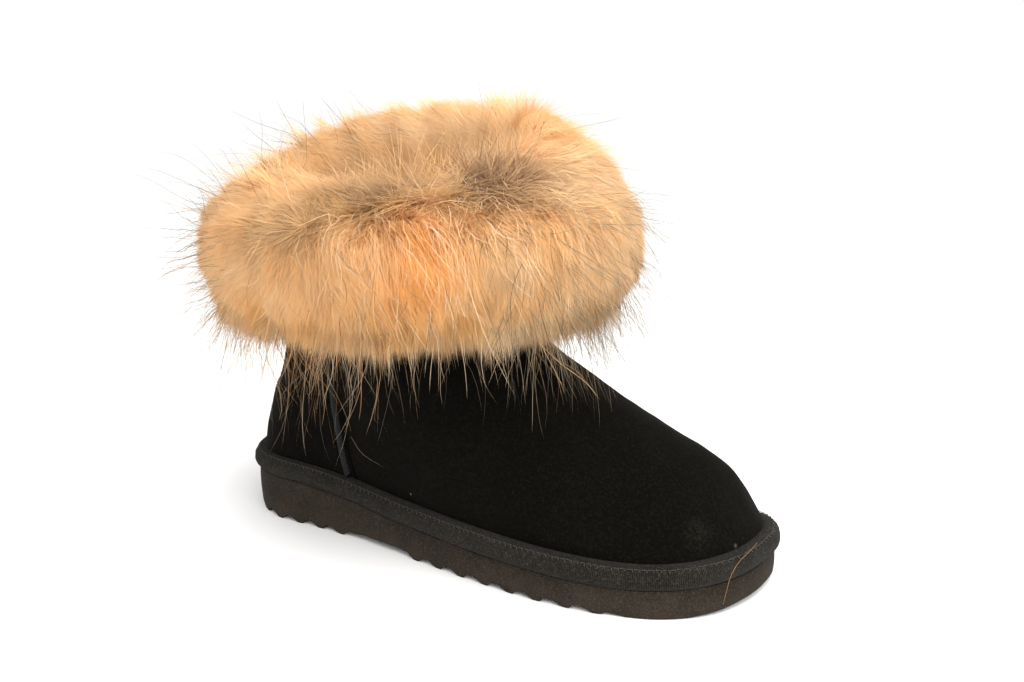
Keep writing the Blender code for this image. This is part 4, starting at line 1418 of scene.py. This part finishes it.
def guard_chance(pelt, kind):
    """Where long hairs grow more: strays at both ends, the fringe on the near side towards the heel."""
    x, y = pelt.grid[..., 0], pelt.grid[..., 1]
    if kind.name == "stray_hairs":
        low = 1 - ease(pelt.rows, 2.0, 5.0)[:, None]
        high = ease(pelt.rows, 8.0, 10.0)[:, None]
        ends = np.maximum(ease(-x, -0.042, 0.013), ease(x, 0.135, 0.160))
        return (0.14 + ends * (1 + 1.2 * low)) * (1 - 0.6 * high)
    if kind.name == "fringe_hairs":
        clumps = 0.15 + ease(pelt.lean_waves(pelt.grid * 2.2), -0.5, 0.7)
        return clumps * (1.0 - 0.88 * ease(x, 0.080, 0.125) * ease(-y, 0.0, 0.02) - 0.3 * ease(y, 0.0, 0.03))
    return np.ones_like(x)


def guard_paths(pelt, kind, row, place, long, share):
    """Lines of guard hairs: stray ones stand straight off the coat, the others lie along it and hang."""
    count = kind.count
    rise = RNG.uniform(*kind.rise, count)
    lean = kind.lean * RNG.normal(0, 1, count)
    if kind.name == "stray_hairs":
        paths, normals = pelt.stand(row, place, long, np.arcsin(rise), lean, len(share))
    else:
        heights = -GUARD_DEPTH * (1 - share) ** 2 + 0.0012 * share + rise[:, None] * share**2
        paths, normals = pelt.comb(row, place, long, lean, heights)
    for turns, size in ((0.75, 1.0), (1.7, 0.35)):
        sway = unit(RNG.normal(size=(count, 1, 3))) * size * kind.sway * long[:, None, None]
        phase = RNG.uniform(-0.5, 0.5, (count, 1, 1))
        wave = np.sin(math.pi * (turns * share[None, :, None] + phase)) - np.sin(math.pi * phase)
        paths = paths + sway * wave
    return paths, normals


def guard_tones(kind, root):
    """Colours of guard hairs: dark ones towards the ends, orange ones on the heel's side, else pale."""
    count = kind.count
    outer = ease(abs(root[:, 0] - 0.072), 0.05, 0.10)
    heel = 1 - ease(root[:, 0], 0.05, 0.11)
    dark = RNG.uniform(0, 1, count) < kind.dark + 0.35 * outer
    orange = RNG.uniform(-0.35, 1.2, count) * (0.20 + 0.80 * heel)
    return {
        "dark": dark * RNG.uniform(0.55, 1.0, count),
        "pale": np.clip(RNG.uniform(*kind.pale, count) - 0.70 * np.clip(orange, 0, 1), 0, 1),
        "orange": np.clip(orange, 0, 1),
        "brown": 0.8 * (RNG.uniform(0, 1, count) < 0.18),
        "dusty": RNG.uniform(0, 0.4, count),
        "shade": RNG.uniform(0.2, 1.0, count),
    }


def make_guard_hairs(pelt, kind):
    """Long coarse hairs, flat and tapering."""
    count = kind.count
    row, place = pelt.roots(count, kind.low, kind.high, guard_chance(pelt, kind))
    share = np.linspace(0, 1, GUARD_STEPS)
    _, _, root = pelt.at(row, place)
    low, high = kind.length
    heel = 1 - ease(root[:, 0], 0.06, 0.12) if kind.name == "fringe_hairs" else 1.0
    long = low + (high - low) * (0.50 + 0.50 * heel) * RNG.uniform(0, 1, count) ** (1.9 - 0.8 * heel)
    paths, normals = guard_paths(pelt, kind, row, place, long, share)
    add_strands(kind.name, fur_surface(kind.name, True), paths, normals, RNG.uniform(*kind.width, count),
                guard_tones(kind, root))


# Loose single hairs: width, how dark and orange each is, and places in the frame that it goes through
Loose = namedtuple("Loose", "width dark orange places")
LOOSE_HAIRS = (
    Loose(0.00026, 0.0, 0.2, (
        (0.1463, -0.0315, 0.1080),
        (0.1512, -0.0190, 0.0945),
        (0.1575, -0.0080, 0.0840),
        (0.1616, -0.0022, 0.0749),
    )),
    Loose(0.00020, 0.5, 0.3, (
        (0.1479, -0.0250, 0.1040),
        (0.1508, -0.0200, 0.0960),
        (0.1560, -0.0100, 0.0880),
        (0.1585, -0.0012, 0.0768),
    )),
    Loose(0.00016, 0.45, 0.8, (
        (0.2315, 0.0019, 0.0230),
        (0.2315, -0.0082, 0.0227),
        (0.2302, -0.0152, 0.0210),
        (0.2289, -0.0197, 0.0165),
        (0.2276, -0.0192, 0.0114),
        (0.2268, -0.0203, 0.0063),
        (0.2252, -0.0182, 0.0010),
    )),
    Loose(0.00014, 0.75, 0.0, (
        (0.0500, -0.0372, 0.0505),
        (0.0580, -0.0388, 0.0440),
        (0.0710, -0.0396, 0.0400),
    )),
)


def make_loose_hairs():
    """Single hairs that lie over the vamp, the tape and the sole."""
    share = np.linspace(0, 1, LOOSE_STEPS)
    paths = []
    for hair in LOOSE_HAIRS:
        at = np.linspace(0, 1, len(hair.places))
        paths.append(np.column_stack([smooth(share, at, values) for values in zip(*hair.places)]))
    paths = np.array(paths)
    normals = np.broadcast_to(unit(np.array([0.45, -0.75, 0.35])), paths.shape)
    count = len(LOOSE_HAIRS)
    tones = {name: np.zeros(count) for name in ("brown", "dusty")}
    tones.update(dark=column(LOOSE_HAIRS, "dark"), orange=column(LOOSE_HAIRS, "orange"))
    tones.update(pale=np.full(count, 0.3), shade=np.full(count, 0.6))
    width = np.array(column(LOOSE_HAIRS, "width"))
    add_strands("loose_hairs", fur_surface("loose_hairs", True), paths, normals, width, tones)


def make_fur_body(pelt, tones):
    """The close pile under the strands: a ring from the collar round the form and back to the shaft."""
    _, away = nearest_on(pelt.grid, PARTING)
    inset = 0.0032 * ease(pelt.rows, 0.0, 1.0) * (1 - ease(pelt.rows, 11.0, 12.0))
    inset = inset[:, None] + 0.0045 * np.exp(-((away / 0.010) ** 2))
    body = (pelt.grid - pelt.normals * inset[..., None])[::FUR_BODY_SKIP]
    t = pelt.rows[::FUR_BODY_SKIP]
    shaft_rows = np.linspace(COLLAR_ROW, FUR_ROOT_ROW, 8)
    shaft, out = upper_surface(shaft_rows, FUR_AROUND)
    root = placed(shaft + out * 0.0008)
    root[0, :, 2] += 0.0004
    loops = np.concatenate([root, body])
    piece = add_ring("fur_body", loops, fur_surface("fur_body", False))
    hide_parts("fur_cuff")
    places = loops.reshape(-1, 3)
    row_t = np.repeat(np.concatenate([np.zeros(len(root)), t]), FUR_AROUND)
    shade = 0.45 + 0.2 * tones.small(places * 3)
    masks = tones(places, row_t)
    # Dark roots and painted shade in the parting: the pile is browned along it, where the gap between the
    # strands lies in shadow.
    _, away = nearest_on(places, PARTING)
    masks["brown"] = np.maximum(masks["brown"], np.exp(-((away / 0.012) ** 2)))
    add_values(piece, along=0.55 - 0.45 * masks["brown"], shade=shade, **masks)


def make_fur():
    """The cuff: a body of close pile, the dense coat and crest, and lying, hanging, stray and loose hairs."""
    pelt = Pelt()
    tones = Tones()
    make_fur_body(pelt, tones)
    strands = fur_surface("fur_strands", False)
    for kind in STRANDS:
        make_strands(pelt, tones, strands, kind)
    make_crest_hairs(pelt, tones, strands)
    for kind in GUARDS:
        make_guard_hairs(pelt, kind)
    make_loose_hairs()


def make_midsole_finish(frame):
    """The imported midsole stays, in the same matt foam look."""
    made = Surface("midsole_foam", 0.85, Specular_IOR_Level=0.2)
    cells = made.noise(1100.0, 3.0, 0.6)
    colour = made.mix(made.span(cells, 0.35, 0.65), (0.035, 0.031, 0.028), (0.065, 0.058, 0.052))
    material = made.finish(colour, made.bump(cells, 0.0002, 0.6))
    node = frame["nodes"]["midsole"]
    node.data.materials.clear()
    node.data.materials.append(material)


def make_floor():
    """A plain pale floor."""
    mesh = bpy.data.meshes.new("floor")
    half = FLOOR_SIZE / 2
    corners = [(-half, -half, 0), (half, -half, 0), (half, half, 0), (-half, half, 0)]
    mesh.from_pydata(corners, [], [(0, 1, 2, 3)])
    floor = bpy.data.objects.new("floor", mesh)
    made = Surface("floor", 0.9, Specular_IOR_Level=0.1)
    cloudy = made.span(made.noise(3.0, 2.0, 0.5), 0.3, 0.7)
    mesh.materials.append(made.finish(made.mix(cloudy, (0.925, 0.925, 0.925), (0.935, 0.935, 0.935))))
    bpy.context.scene.collection.objects.link(floor)


def add_area_light(name, place, target, size, power, colour):
    light = bpy.data.lights.new(name, "AREA")
    light.shape = "SQUARE"
    light.size = size
    light.energy = power
    light.color = colour
    made = bpy.data.objects.new(name, light)
    made.location = place
    made.rotation_euler = (Vector(target) - Vector(place)).to_track_quat("-Z", "Y").to_euler()
    bpy.context.scene.collection.objects.link(made)


def make_lights():
    """A white surround, a broad softbox over the boot and a weaker one from the front."""
    world = bpy.data.worlds.new("studio")
    bpy.context.scene.world = world
    world.use_nodes = True
    world.node_tree.nodes["Background"].inputs["Color"].default_value = (1.0, 1.0, 1.0, 1.0)
    world.node_tree.nodes["Background"].inputs["Strength"].default_value = 1.1
    centre = (0.08, 0.0, 0.08)
    add_area_light("softbox_top", (0.45, -0.15, 1.25), centre, 0.9, 12.0, (1.0, 0.99, 0.97))
    add_area_light("softbox_front", (1.05, -0.50, 0.70), centre, 0.8, 9.0, (1.0, 0.985, 0.96))
    bpy.context.scene.view_settings.view_transform = "Standard"
    bpy.context.scene.view_settings.look = "None"


# The camera, worked out from the sole's outline in the photograph
CAMERA_TARGET = (0.1159, 0.0, 0.0952)
CAMERA_DISTANCE = 0.4843
CAMERA_AZIMUTH = 33.389
CAMERA_ELEVATION = 13.800
CAMERA_ROLL = -1.525
CAMERA_LENS = 38.10


def make_camera():
    azimuth, elevation, roll = (math.radians(a) for a in (CAMERA_AZIMUTH, CAMERA_ELEVATION, CAMERA_ROLL))
    level = math.cos(elevation)
    back = Vector((math.sin(azimuth) * level, -math.cos(azimuth) * level, math.sin(elevation)))
    right = (-back).cross(Vector((0, 0, 1))).normalized()
    up = right.cross(-back)
    turned_right = math.cos(roll) * right + math.sin(roll) * up
    turned_up = -math.sin(roll) * right + math.cos(roll) * up
    data = bpy.data.cameras.new("camera")
    data.sensor_width = 36.0
    data.lens = CAMERA_LENS
    data.clip_start = 0.01
    camera = bpy.data.objects.new("camera", data)
    place = Matrix((turned_right, turned_up, back)).transposed().to_4x4()
    place.translation = Vector(CAMERA_TARGET) + CAMERA_DISTANCE * back
    camera.matrix_world = place
    bpy.context.scene.collection.objects.link(camera)
    bpy.context.scene.camera = camera


def main():
    for thing in list(bpy.data.objects):
        bpy.data.objects.remove(thing, do_unlink=True)
    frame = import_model()
    make_camera()
    make_lights()
    make_floor()
    make_outsole()
    make_midsole_finish(frame)
    make_binding()
    make_tape_stitches()
    make_insole()
    make_upper()
    make_counter()
    make_side_seam("seam_outer", "side_seam_outer", 1)
    make_side_seam("seam_inner", "side_seam_inner", -1)
    make_fur()


main()
